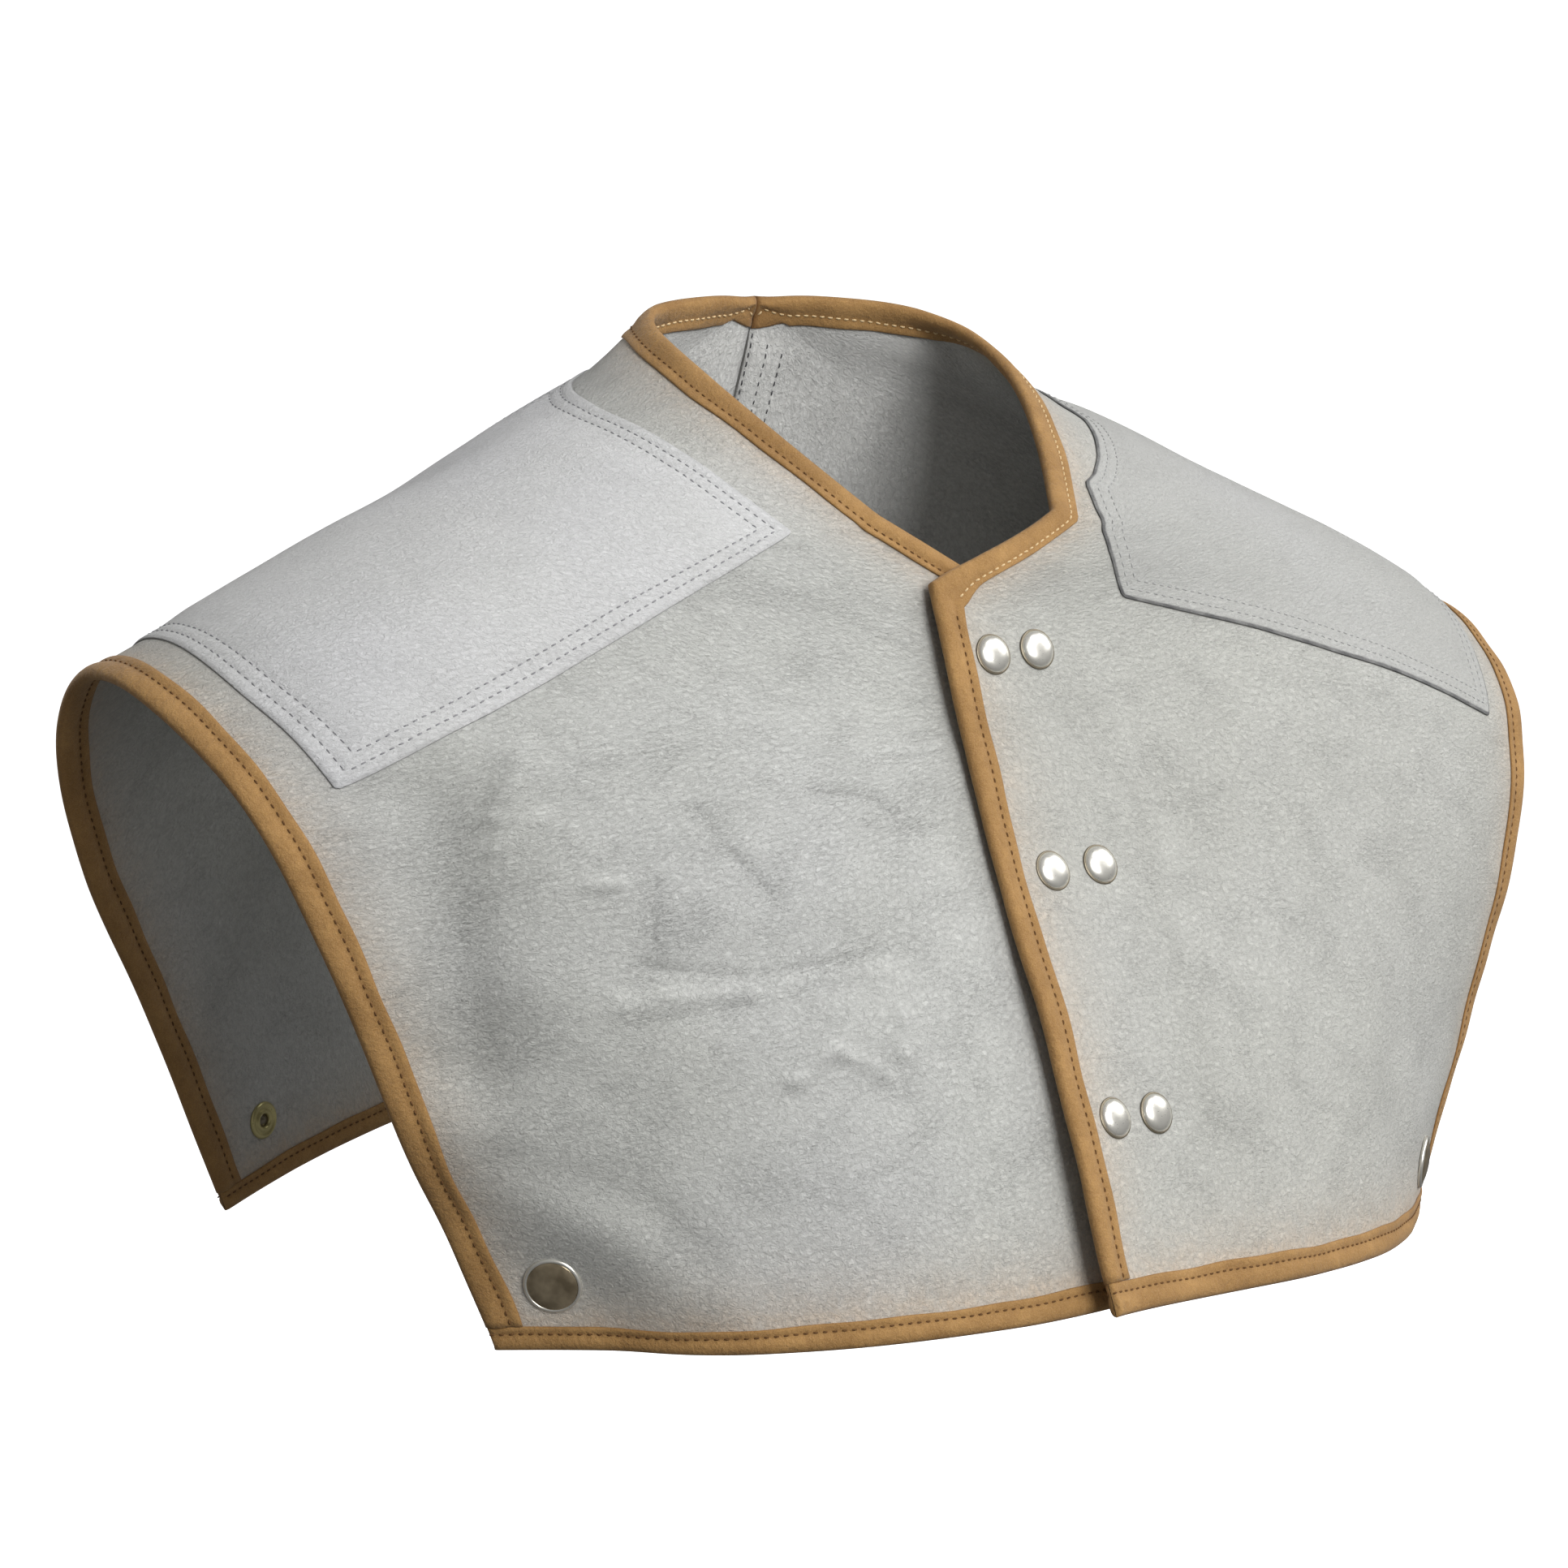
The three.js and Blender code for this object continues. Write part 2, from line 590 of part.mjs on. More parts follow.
for (const half of bothHalves) {
  const front = half.hemBand.front
  const back = LAST_ROW - half.hemBand.back
  const rowGap = GAP / ROW_LENGTH
  const seamTop = half.at(0, BACK_NECK_ROW)
  const seamDrop = BINDING_WIDTH / half.at(0, BACK_NECK_ROW + 0.1).distanceTo(seamTop) * 0.1
  const seamEnd = [0, BACK_NECK_ROW + seamDrop]
  const mitre = bandShare(half, 0, FRONT_NECK_ROW)
  const [mitreBelow, mitreAbove] = [FRONT_NECK_ROW - 2 * rowGap, FRONT_NECK_ROW + 2 * rowGap]
  const frontEdge = edgeStations(half, 0, front + rowGap, mitreBelow)
  frontEdge.at(-1).band = [mitre, mitreBelow]
  const neck = edgeStations(half, 0, mitreAbove, BACK_NECK_ROW)
  neck[0].band = [mitre, mitreAbove]
  Object.assign(neck.at(-1), { edge: [0, BACK_NECK_ROW - 0.01], towards: seamEnd })
  neck.push({ edge: [0, BACK_NECK_ROW], band: seamEnd })
  const sideEdge = edgeStations(half, 1, front + rowGap, back - rowGap)
  const strips = [
    { name: 'neck', handed: 1, split: 1, stations: neck },
    { name: 'front', handed: 1, split: 1, stations: frontEdge },
    { name: 'side', handed: -1, split: -1, stations: sideEdge },
    { name: 'front_hem', handed: -1, split: 1, stations: hemStations(half, 0, front, true) },
    { name: 'back_hem', handed: 1, split: -1, stations: hemStations(half, LAST_ROW, back, false) },
  ]
  for (const strip of strips) {
    addPiece(`${strip.name}_binding_${half.name}`, bindingStrip(half, strip), materials.tan)
  }
}

// Snaps: turned pieces, with heights along the snap's axis from the leather's middle

function turned(profile, sides, seat) {
  const points = profile.map(([radius, height]) => new THREE.Vector2(radius, height))
  return stand(new THREE.LatheGeometry(points, sides), seat.centre, seat.axis)
}

function domeProfile(radius, height, base) {
  return [
    [radius, base],
    [radius * 0.95, base + height * 0.45],
    [radius * 0.6, base + height * 0.88],
    [0, base + height],
  ]
}

for (const snap of frontSnaps) {
  const seat = seatOf(leftHalf, snap.place, SMALL_CAP_RADIUS)
  const socketEnd = seat.inner - SOCKET_THICK
  const cap = turned([
    [0, socketEnd],
    [SOCKET_RADIUS, socketEnd],
    [SOCKET_RADIUS, seat.inner],
    [POST_RADIUS, seat.inner],
    [POST_RADIUS, seat.outer],
    ...domeProfile(SMALL_CAP_RADIUS, SMALL_CAP_HEIGHT, seat.outer),
  ], 14, seat)
  addPiece(`front_snap_cap_${snap.name}`, cap, materials.nickel)

  const below = seatOf(rightHalf, snap.under, SOCKET_RADIUS)
  const headEnd = seat.centre.distanceTo(below.centre) + socketEnd - STUD_CLEARANCE
  const stud = turned([
    [0, below.inner - FLANGE_THICK],
    [SOCKET_RADIUS, below.inner - FLANGE_THICK],
    [SOCKET_RADIUS, below.inner],
    [POST_RADIUS, below.inner],
    [POST_RADIUS, below.outer],
    [SOCKET_RADIUS * 0.8, below.outer],
    [SOCKET_RADIUS * 0.8, headEnd],
    [0, headEnd],
  ], 10, below)
  addPiece(`front_snap_stud_${snap.name}`, stud, materials.nickel)
}

for (const half of bothHalves) {
  const front = seatOf(half, sideSnaps[half.name], LARGE_CAP_RADIUS)
  const socketEnd = front.inner - SIDE_SOCKET_THICK
  const cap = turned([
    [0, front.inner - FLANGE_THICK],
    [STUD_HEAD_RADIUS + GAP, front.inner - FLANGE_THICK],
    [STUD_HEAD_RADIUS + GAP, socketEnd],
    [SIDE_SOCKET_RADIUS, socketEnd],
    [SIDE_SOCKET_RADIUS, front.inner],
    [POST_RADIUS, front.inner],
    [POST_RADIUS, front.outer],
    ...domeProfile(LARGE_CAP_RADIUS, LARGE_CAP_HEIGHT, front.outer),
  ], 18, front)
  addPiece(`side_snap_cap_${half.name}`, cap, materials.nickel)

  const back = seatOf(half, backSnap, EYELET_RADIUS)
  const stud = turned([
    [0, back.outer],
    [SIDE_SOCKET_RADIUS, back.outer],
    [SIDE_SOCKET_RADIUS, back.outer + FLANGE_THICK],
    [STUD_HEAD_RADIUS * 0.8, back.outer + FLANGE_THICK],
    [STUD_HEAD_RADIUS, back.outer + STUD_HEIGHT * 0.75],
    [STUD_HEAD_RADIUS * 0.8, back.outer + STUD_HEIGHT],
    [0, back.outer + STUD_HEIGHT],
  ], 14, back)
  addPiece(`back_stud_${half.name}`, stud, materials.nickel)

  const barrelEnd = back.outer - GAP
  const eyelet = turned([
    [EYELET_BORE_RADIUS, barrelEnd],
    [EYELET_BORE_RADIUS, back.inner - EYELET_THICK * 0.8],
    [EYELET_BARREL_RADIUS + 1, back.inner - EYELET_THICK],
    [EYELET_RADIUS * 0.85, back.inner - EYELET_THICK * 0.8],
    [EYELET_RADIUS, back.inner],
    [EYELET_BARREL_RADIUS, back.inner],
    [EYELET_BARREL_RADIUS, barrelEnd],
    [EYELET_BORE_RADIUS, barrelEnd],
  ], 14, back)
  addPiece(`back_eyelet_${half.name}`, eyelet, materials.brass)
}

export default group
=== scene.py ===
import math

import bpy
import numpy as np
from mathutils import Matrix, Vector


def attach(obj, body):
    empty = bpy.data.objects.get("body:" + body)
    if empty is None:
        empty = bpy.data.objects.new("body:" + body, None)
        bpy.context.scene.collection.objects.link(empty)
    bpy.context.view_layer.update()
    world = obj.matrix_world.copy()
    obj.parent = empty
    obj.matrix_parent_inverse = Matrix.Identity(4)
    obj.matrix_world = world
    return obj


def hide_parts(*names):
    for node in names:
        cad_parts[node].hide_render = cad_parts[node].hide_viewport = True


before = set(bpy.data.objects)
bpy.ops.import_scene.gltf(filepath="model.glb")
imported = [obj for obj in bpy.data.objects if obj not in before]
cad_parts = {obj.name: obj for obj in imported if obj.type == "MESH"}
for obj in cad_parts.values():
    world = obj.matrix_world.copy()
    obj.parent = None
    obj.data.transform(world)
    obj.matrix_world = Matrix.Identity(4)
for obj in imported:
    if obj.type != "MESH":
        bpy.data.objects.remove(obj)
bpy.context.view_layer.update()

MM = 0.001

# Sizes in millimetres and shares, the same as in the part's source
LEATHER_THICK = 1.8
PAD_THICK = 2.0
BINDING_WIDTH = 12.0
FRONT_LAP = 25.0
SEAM_HALF_GAP = 0.3
UNDER_LAP = 14.0
LAP_LIFT = 3.0
LAP_REACH = 0.34
LAP_CURVE = 1.6
LAP_FADE = 1.2
NECK_CORNER_DROP = 20.0
PANEL_WIDTH = 270.0
ROW_LENGTH = 80.0
CORNER_REACH = 0.2
SEAM_EASE = 2.2
SEAM_EASE_WIDTH = 16.0
SEAM_EASE_ROWS = 0.4
LEATHER_TOP = LEATHER_THICK / 2

# Steps that slopes are taken over, as shares across a half and rows along it
ACROSS_STEP = 0.004
ALONG_STEP = 0.02
EDGE_STEP = 0.01
BAND_STEP = 0.1
TINY = 1e-9

# Cross sections of one half, from the front hem over the shoulder to the back hem
SECTIONS = {
    "front_hem": dict(facing=0, edge=(-FRONT_LAP, -194, -312), side=(209, -96, -318),
                      bow=31, lean=1.25, under=UNDER_LAP, tuck=22),
    "front_low": dict(facing=0, edge=(-FRONT_LAP, -162, -232), side=(240, -93, -249),
                      bow=27, lean=1.25, under=UNDER_LAP, tuck=14),
    "front_mid": dict(facing=5, edge=(-FRONT_LAP, -123, -151), side=(267, -90, -185),
                      bow=25, lean=1.3, swing=4, under=UNDER_LAP, tuck=9),
    "front_neck": dict(facing=25, edge=(-FRONT_LAP, -91, -70), side=(287, -71, -133),
                       bow=22, lean=1.25, swing=14, corner=1, under=UNDER_LAP, tuck=3),
    "neck_front": dict(facing=55, edge=(40, -82, -47), side=(301, -26, -100),
                       bow=17, lean=1.1, swing=6, corner=0.7, tuck=1),
    "ridge": dict(facing=90, edge=(70, -20, 2), side=(303, 12, -97), bow=5, lean=1.2),
    "neck_back": dict(facing=125, edge=(62, 26, 25), side=(296, 42, -125), bow=2, lean=1.2),
    "back_neck": dict(facing=150, edge=(SEAM_HALF_GAP, 48, 32), side=(278, 57, -171),
                      bow=10, lean=1.3, corner=1),
    "back_mid": dict(facing=170, edge=(SEAM_HALF_GAP, 98, -110), side=(247, 72, -224), bow=15, lean=1.25),
    "back_hem": dict(facing=155, edge=(SEAM_HALF_GAP, 113, -270), side=(209, 88, -300), bow=15, lean=1.2),
}
ROWS = list(SECTIONS)
LAST_ROW = len(ROWS) - 1
FRONT_NECK_ROW = ROWS.index("front_neck")
BACK_NECK_ROW = ROWS.index("back_neck")
BACK_MID_ROW = ROWS.index("back_mid")


def fold(halves, rise, reach, *path):
    """A fold with its rise and half width in millimetres, and its path on flat leather."""
    return dict(halves=halves.split(), rise=rise, reach=reach,
                path=np.array(path) * (PANEL_WIDTH, ROW_LENGTH))


# Large folds: halves, rise, half width, then places across and along a half
FOLDS = {
    "neck_hollow": fold("right left", -4.5, 28, (0.14, 5.2), (0.14, 6.6)),
    "shoulder_dip": fold("right", -3, 30, (0.25, 5.6), (0.4, 5.5)),
    "armhole_valley": fold("right", -5, 17, (0.84, 2.75), (0.91, 1.45)),
    "corner_ridge": fold("right", 4, 20, (0.92, 0.96), (0.76, 0.41)),
    "corner_bend": fold("right", -5, 30, (0.98, 0.55), (0.86, 0.05)),
    "waist_crease": fold("right", -3, 15, (0.68, 1.74), (0.385, 1.65)),
    "left_drape": fold("left", 3.5, 22, (0.36, 1.2), (0.34, 0.3)),
    "back_drape": fold("right left", 4, 36, (0.5, 8.9), (0.45, 7.7)),
}

# Small creases and wrinkles in the leather's skin, in the same order
CREASES = {
    "waist_line": fold("right", -1.2, 2.6, (0.68, 1.77), (0.58, 1.66), (0.53, 1.65), (0.4, 1.655)),
    "waist_ridge": fold("right", 1.6, 4, (0.725, 1.61), (0.615, 1.605), (0.4, 1.57)),
    "waist_under": fold("right", -0.8, 2.4, (0.72, 1.53), (0.58, 1.53)),
    "chest_line": fold("right", -1.3, 2.8, (0.42, 2.515), (0.355, 2.43), (0.3, 2.2)),
    "chest_ridge": fold("right", 1.5, 3.2, (0.35, 2.68), (0.245, 2.645)),
    "middle_line": fold("right", -1.1, 2.8, (0.57, 2.53), (0.555, 2.3), (0.515, 2.02)),
    "upright_line": fold("right", -0.8, 2.4, (0.645, 2.17), (0.667, 1.86)),
    "belly_ridge": fold("right", 2.1, 2.8, (0.553, 1.165), (0.494, 1.275), (0.435, 1.12)),
    "belly_spur": fold("right", 1.9, 2.6, (0.395, 1.355), (0.409, 1.2)),
    "belly_hollow": fold("right", -0.5, 9, (0.54, 1.1), (0.43, 1.06)),
    "arm_line": fold("right", -1.2, 6, (0.832, 2.65), (0.866, 1.94), (0.897, 1.25)),
    "arm_ridge": fold("right", 2.0, 4, (0.79, 2.66), (0.717, 3.0)),
    "arm_spur": fold("right", 1.7, 3.6, (0.8, 2.48), (0.745, 2.61)),
    "pucker": fold("right", 2.0, 2.8, (0.716, 2.21), (0.687, 2.2)),
    "corner_line": fold("right", -2.2, 10, (0.9, 0.95), (0.77, 0.67), (0.735, 0.48)),
    "facing_edge": fold("left", 0.9, 5, (0.1, 3.6), (0.2, 2.9), (0.25, 2.2), (0.255, 1.2)),
    "left_ripple": fold("left", 2.2, 8, (0.295, 1.37), (0.262, 0.82)),
    "left_wave": fold("left", 2.0, 13, (0.6, 1.7), (0.55, 0.7)),
    "left_line": fold("left", -0.8, 8, (0.45, 2.3), (0.41, 1.75)),
    "left_hem_wave": fold("left", -1.8, 11, (0.66, 0.9), (0.7, 0.25)),
}

NARROW = 5.0  # a crease narrower than this is sharp, and uneven along its path
NARROW_GAIN = 1.25
NARROW_CURVE = 1.4
CREASE_UNEVEN = dict(mean=0.75, swing=0.35, bend=2, lengths=(4.3, 6.1, 3.7, 9))
SHADED_HOLLOW_REACH = 8.0  # a hollow narrower than this is rougher than the rest, and painted shade makes it darker
SHADE_NARROWING = 0.6

# Slow waves in the leather: length and rise in millimetres, angle in degrees
WAVES = [
    dict(length=83, angle=17, phase=0.4, rise=0.26),
    dict(length=57, angle=108, phase=2.1, rise=0.22),
    dict(length=39, angle=63, phase=4.4, rise=0.14),
    dict(length=31, angle=151, phase=1.2, rise=0.1),
]
WAVE_BEND = dict(x=(11, 23), y=(9, 19))  # sideways shift and its length in millimetres
WAVE_FADE = 0.75  # the waves are lower on the shoulder
WAVE_FADE_ROWS = (3.3, 0.8)

# Edges of the shoulder pads: the inner and outer end of each row, as places on a half
PAD_ROWS = {
    "right": {
        "front": ((0.13, 4.02), (0.915, 2.97)),
        "chest": ((0.13, 4.5), (0.915, 3.7)),
        "ridge": ((0.145, 5.2), (0.905, 4.7)),
        "back": ((0.15, 6.3), (0.9, 6.1)),
    },
    "left": {
        "front": ((0.22, 3.32), (0.91, 2.86)),
        "chest": ((0.12, 3.75), (0.92, 3.22)),
        "yoke": ((0.085, 3.92), (0.92, 3.38)),
        "collar": ((0.069, 4.08), (0.92, 3.54)),
        "notch": ((0.06, 4.265), (0.92, 3.72)),
        "curve": ((0.08, 4.335), (0.92, 3.82)),
        "bulge": ((0.105, 4.48), (0.918, 4.05)),
        "crest": ((0.126, 4.65), (0.914, 4.35)),
        "ridge": ((0.15, 4.88), (0.91, 4.7)),
        "back": ((0.15, 6.3), (0.9, 6.1)),
    },
}

FRONT_SNAPS = {
    "1": (0.081, 0.77), "2": (0.155, 0.775), "3": (0.085, 1.83),
    "4": (0.16, 1.87), "5": (0.068, 2.815), "6": (0.132, 2.89),
}
SIDE_SNAPS = {"right": (0.908, 0.305), "left": (0.85, 0.31)}
BACK_SNAP = (0.865, 8.745)

# Shallow dents that the closed snaps press into the leather
DENTS = [fold("left", -0.7, 11, place, place) for place in FRONT_SNAPS.values()]
DENTS += [fold(name, -0.8, 14, place, place) for name, place in SIDE_SNAPS.items()]


def smoothstep(x, start=0.0, width=1.0):
    """A smooth change from 0 at the start to 1 after a width, which is negative for a fall in x."""
    x = np.clip((x - start) / width, 0.0, 1.0)
    return x * x * (3 - 2 * x)


def bell(x, width=1.0):
    return np.exp(-(x / width) ** 2)


def unit(vectors):
    return vectors / np.linalg.norm(vectors, axis=-1, keepdims=True)


def dot(a, b):
    return (a * b).sum(-1, keepdims=True)


def path_length(points):
    return np.concatenate([[0], np.cumsum(np.linalg.norm(np.diff(points, axis=0), axis=1))])


def uneven(x, y, mean, swing, bend, lengths):
    """A share that varies smoothly over flat leather, from waves of four lengths in millimetres."""
    a, b, c, d = lengths
    return mean + swing * np.sin(x / a + bend * np.sin(y / b)) * np.sin(y / c + x / d)


def away_from(path, x, y):
    """Distance in millimetres of flat leather from a fold's path."""
    away = np.full_like(x, np.inf)
    for (x0, y0), (dx, dy) in zip(path, np.diff(path, axis=0)):
        share = np.clip(((x - x0) * dx + (y - y0) * dy) / max(dx * dx + dy * dy, TINY), 0, 1)
        away = np.minimum(away, np.hypot(x - x0 - share * dx, y - y0 - share * dy))
    return away


class Half:
    """One half of the vest as a surface: u runs from the inner edge to the side, v from hem to hem."""

    def __init__(self, name, sign):
        self.name, self.sign = name, sign
        rows = SECTIONS.values()
        self.edge = np.array([row["edge"] for row in rows], float)
        side = np.array([row["side"] for row in rows], float)
        if name == "right":
            self.edge[FRONT_NECK_ROW, 2] -= NECK_CORNER_DROP
        self.chord = side - self.edge
        self.bow, self.lean, self.swing, self.corner, under, self.tuck = (
            np.array([row.get(key, 0) for row in rows], float)
            for key in ("bow", "lean", "swing", "corner", "under", "tuck"))
        length = np.linalg.norm(self.chord, axis=1)
        self.wider = under / length if name == "right" else 0 * length
        facing = np.radians([row["facing"] for row in rows])
        zero = 0 * facing
        out = np.stack([zero, -np.cos(facing), np.sin(facing)], 1)
        self.ahead = np.stack([zero, -np.sin(facing), -np.cos(facing)], 1)
        along = unit(self.chord)
        self.out = unit(out - along * dot(out, along))
        self.folds = [form for form in [*FOLDS.values(), *CREASES.values(), *DENTS]
                      if name in form["halves"]]
        self.hem_band = {"front": self.band(0.5, 0, BAND_STEP),
                         "back": self.band(0.5, LAST_ROW, -BAND_STEP)}
        self.neck_band = self.band(0, BACK_NECK_ROW, BAND_STEP)

    def section_points(self, u):
        reach = u[None] * (1 + self.wider[:, None]) - self.wider[:, None]
        bow = self.bow[:, None] * np.sin(np.pi * np.maximum(0, reach) ** self.lean[:, None])
        swing = self.swing[:, None] * np.sin(np.pi * np.sqrt(np.clip(u, 0, 1)))[None]
        return (self.edge[:, None] + self.chord[:, None] * reach[..., None]
                + self.out[:, None] * bow[..., None] + self.ahead[:, None] * swing[..., None])

    def draped(self, u, v):
        rows = self.section_points(u)
        step = rows[1:] - rows[:-1]
        sharp = (self.corner[:, None] * np.maximum(0, 1 - u[None] / CORNER_REACH))[..., None]
        smooth = 0.5 * (step[:-1] + step[1:])
        leave = np.concatenate([step[:1], smooth + (step[1:] - smooth) * sharp[1:-1], step[-1:]])
        arrive = np.concatenate([step[:1], smooth + (step[:-1] - smooth) * sharp[1:-1], step[-1:]])
        row = np.clip(np.floor(v).astype(int), 0, LAST_ROW - 1)
        t = (v - row)[:, None]
        at = np.arange(len(u))
        points = (rows[row, at] * (2 * t ** 3 - 3 * t ** 2 + 1) + leave[row, at] * (t ** 3 - 2 * t ** 2 + t)
                  + rows[row + 1, at] * (3 * t ** 2 - 2 * t ** 3) + arrive[row + 1, at] * (t ** 3 - t ** 2))
        points[:, 0] *= self.sign
        return points

    def normal_of(self, surface, u, v):
        across = surface(np.minimum(1, u + ACROSS_STEP), v) - surface(np.maximum(0, u - ACROSS_STEP), v)
        along = surface(u, np.minimum(LAST_ROW, v + ALONG_STEP)) - surface(u, np.maximum(0, v - ALONG_STEP))
        return unit(np.cross(across, along) * self.sign)

    def hollow_shade_and_nap(self, u, v):
        """How near a place is to a narrow hollow, from 0 to 1: the share of painted shade and rougher nap
        there.
        """
        x, y = u * PANEL_WIDTH, v * ROW_LENGTH
        marks = np.zeros_like(x)
        for form in CREASES.values():
            if self.name in form["halves"] and form["rise"] < 0 and form["reach"] < SHADED_HOLLOW_REACH:
                marks += bell(SHADE_NARROWING * away_from(form["path"], x, y), form["reach"])
        return np.minimum(1, marks)

    def relief(self, u, v):
        """Rise of the folds, creases and waves in millimetres."""
        x, y = u * PANEL_WIDTH, v * ROW_LENGTH
        rise = np.zeros_like(u)
        patchy = uneven(x, y, **CREASE_UNEVEN)
        for form in self.folds:
            away = away_from(form["path"], x, y) / form["reach"]
            if form["reach"] < NARROW:
                rise += NARROW_GAIN * form["rise"] * patchy * np.exp(-away ** NARROW_CURVE)
            else:
                rise += form["rise"] * bell(away)
        fade = 1 - WAVE_FADE * smoothstep(v, *WAVE_FADE_ROWS)
        (shift_x, length_x), (shift_y, length_y) = WAVE_BEND["x"], WAVE_BEND["y"]
        bent_x = x + shift_x * np.sin(y / length_x + self.sign)
        bent_y = y + shift_y * np.sin(x / length_y + 2 * self.sign)
        for wave in WAVES:
            angle = math.radians(wave["angle"])
            run = bent_x * math.cos(angle) + bent_y * math.sin(angle)
            phase = 2 * np.pi * run / wave["length"] + wave["phase"] + self.sign
            rise += fade * wave["rise"] * np.sin(phase)
        return rise

    def lap_shift(self, u, v):
        share = np.maximum(0, 1 - u / LAP_REACH) ** LAP_CURVE
        if self.name == "left":
            return -LAP_LIFT * share * smoothstep(FRONT_NECK_ROW + LAP_FADE - v)
        return np.interp(v, np.arange(LAST_ROW + 1), self.tuck) * share

    def at(self, u, v):
        u, v = (np.asarray(x, float) for x in np.broadcast_arrays(u, v))
        shape = u.shape
        u, v = u.ravel(), v.ravel()
        points = self.draped(u, v) + self.normal_of(self.draped, u, v) * self.relief(u, v)[:, None]
        points[:, 1] += self.lap_shift(u, v)
        ease = bell(points[:, 0], SEAM_EASE_WIDTH) * bell(v - BACK_NECK_ROW, SEAM_EASE_ROWS)
        points[:, 2] -= SEAM_EASE * ease
        return points.reshape(*shape, 3)

    def normal(self, u, v):
        u, v = (np.asarray(x, float) for x in np.broadcast_arrays(u, v))
        normals = self.normal_of(self.at, u.ravel(), v.ravel())
        seam = (u.ravel() <= 0) & (v.ravel() >= BACK_NECK_ROW)
        normals[seam, 0] = 0
        return unit(normals).reshape(*u.shape, 3)

    def lifted(self, u, v, height):
        return self.at(u, v) + self.normal(u, v) * np.asarray(height)[..., None]

    def span(self, a, b):
        return float(np.linalg.norm(self.at(*a) - self.at(*b)))

    def band(self, u, row, step):
        """Share of a row that the binding's width covers, taken over a step from that row."""
        return BAND_STEP * BINDING_WIDTH / self.span((u, row), (u, row + step))

    def even_rows(self):
        """Places along the half for the lines of its mesh, with one at each section."""
        lines = []
        for row in range(LAST_ROW):
            length = path_length(self.at(LENGTH_COLUMN, np.linspace(row, row + 1, LENGTH_SAMPLES)))[-1]
            step = FINE_STEP if row in FINE_ROWS else COARSE_STEP
            lines.append(np.linspace(row, row + 1, round(length / step) + 1)[:-1])
        return np.append(np.concatenate(lines), LAST_ROW)

    def band_share(self, u, v, low, high):
        """Share of a section that the binding covers at its inner end (u 0) or side end (u 1)."""
        inward = (self.at(abs(u - EDGE_STEP), v) - self.at(u, v)) / EDGE_STEP
        run = self.at(u, np.minimum(high, v + ALONG_STEP)) - self.at(u, np.maximum(low, v - ALONG_STEP))
        return BINDING_WIDTH / np.linalg.norm(np.cross(inward, unit(run)), axis=1)


RIGHT = Half("right", -1)
LEFT = Half("left", 1)
HALVES = [RIGHT, LEFT]
SEARCH_ROUNDS = 12
SEARCH_STEPS = (0.005, 0.01)
SEARCH_LIMITS = (0.99, 8.9)


def below(half, point, axis, start):
    """Place on a half straight below a point, along an axis."""
    place = np.array(start, float)
    level = unit(np.cross((1.0, 0.0, 0.0), axis))
    across = unit(np.cross(axis, level))

    def miss(where):
        away = half.at(*where) - point
        return np.array([away @ across, away @ level])

    for _ in range(SEARCH_ROUNDS):
        here = miss(place)
        slope = np.stack([(miss(place + step) - here) / step.sum() for step in np.diag(SEARCH_STEPS)], 1)
        place = np.clip(place - np.linalg.solve(slope, here), 0, SEARCH_LIMITS)
    return place


# Materials

class Nodes:
    """A small helper that adds shader nodes and links them."""

    def __init__(self, name):
        self.material = bpy.data.materials.new(name)
        self.material.use_nodes = True
        self.tree = self.material.node_tree
        self.shader = self.tree.nodes["Principled BSDF"]
        self.place = self.add("ShaderNodeTexCoord").outputs["Object"]

    def add(self, kind, inputs=None, **settings):
        node = self.tree.nodes.new(kind)
        for key, value in settings.items():
            setattr(node, key, value)
        for key, value in (inputs or {}).items():
            self.put(node.inputs[key], value)
        return node

    def put(self, socket, value):
        if isinstance(value, bpy.types.NodeSocket):
            self.tree.links.new(value, socket)
        else:
            socket.default_value = (*value, 1) if socket.type == "RGBA" else value

    def noise(self, place, scale, detail, roughness=0.55, distortion=0.0):
        node = self.add("ShaderNodeTexNoise", {
            "Vector": place, "Scale": scale, "Detail": detail,
            "Roughness": roughness, "Distortion": distortion})
        return node.outputs["Fac"]

    def stretch(self, place, scale, turn):
        node = self.add("ShaderNodeMapping", {
            "Vector": place, "Scale": scale, "Rotation": (0.0, 0.0, math.radians(turn))})
        return node.outputs["Vector"]

    def ramp(self, value, low, high, to_low=0.0, to_high=1.0):
        node = self.add("ShaderNodeMapRange", {
            "Value": value, "From Min": low, "From Max": high, "To Min": to_low, "To Max": to_high})
        return node.outputs["Result"]

    def math(self, operation, a, b):
        return self.add("ShaderNodeMath", {0: a, 1: b}, operation=operation).outputs[0]

    def mix(self, share, a, b):
        return self.add("ShaderNodeMix", {0: share, 6: a, 7: b}, data_type="RGBA").outputs[2]

    def paint(self, share, low, high, layers):
        """A mix of two colours, with layers of (share, colour) over it."""
        colour = self.mix(share, low, high)
        for over, tone in layers:
            colour = self.mix(over, colour, tone)
        return colour

    def bumps(self, *layers):
        """A normal from layers of (height, distance, strength), each over the one before."""
        normal = {}
        for height, distance, strength in layers:
            inputs = {"Height": height, "Distance": distance, "Strength": strength, **normal}
            normal = {"Normal": self.add("ShaderNodeBump", inputs).outputs["Normal"]}
        return normal["Normal"]

    def attribute(self, name):
        return self.add("ShaderNodeAttribute", attribute_name=name).outputs["Fac"]

    def finish(self, **values):
        for key, value in values.items():
            self.put(self.shader.inputs[key.replace("_", " ")], value)
        return self.material


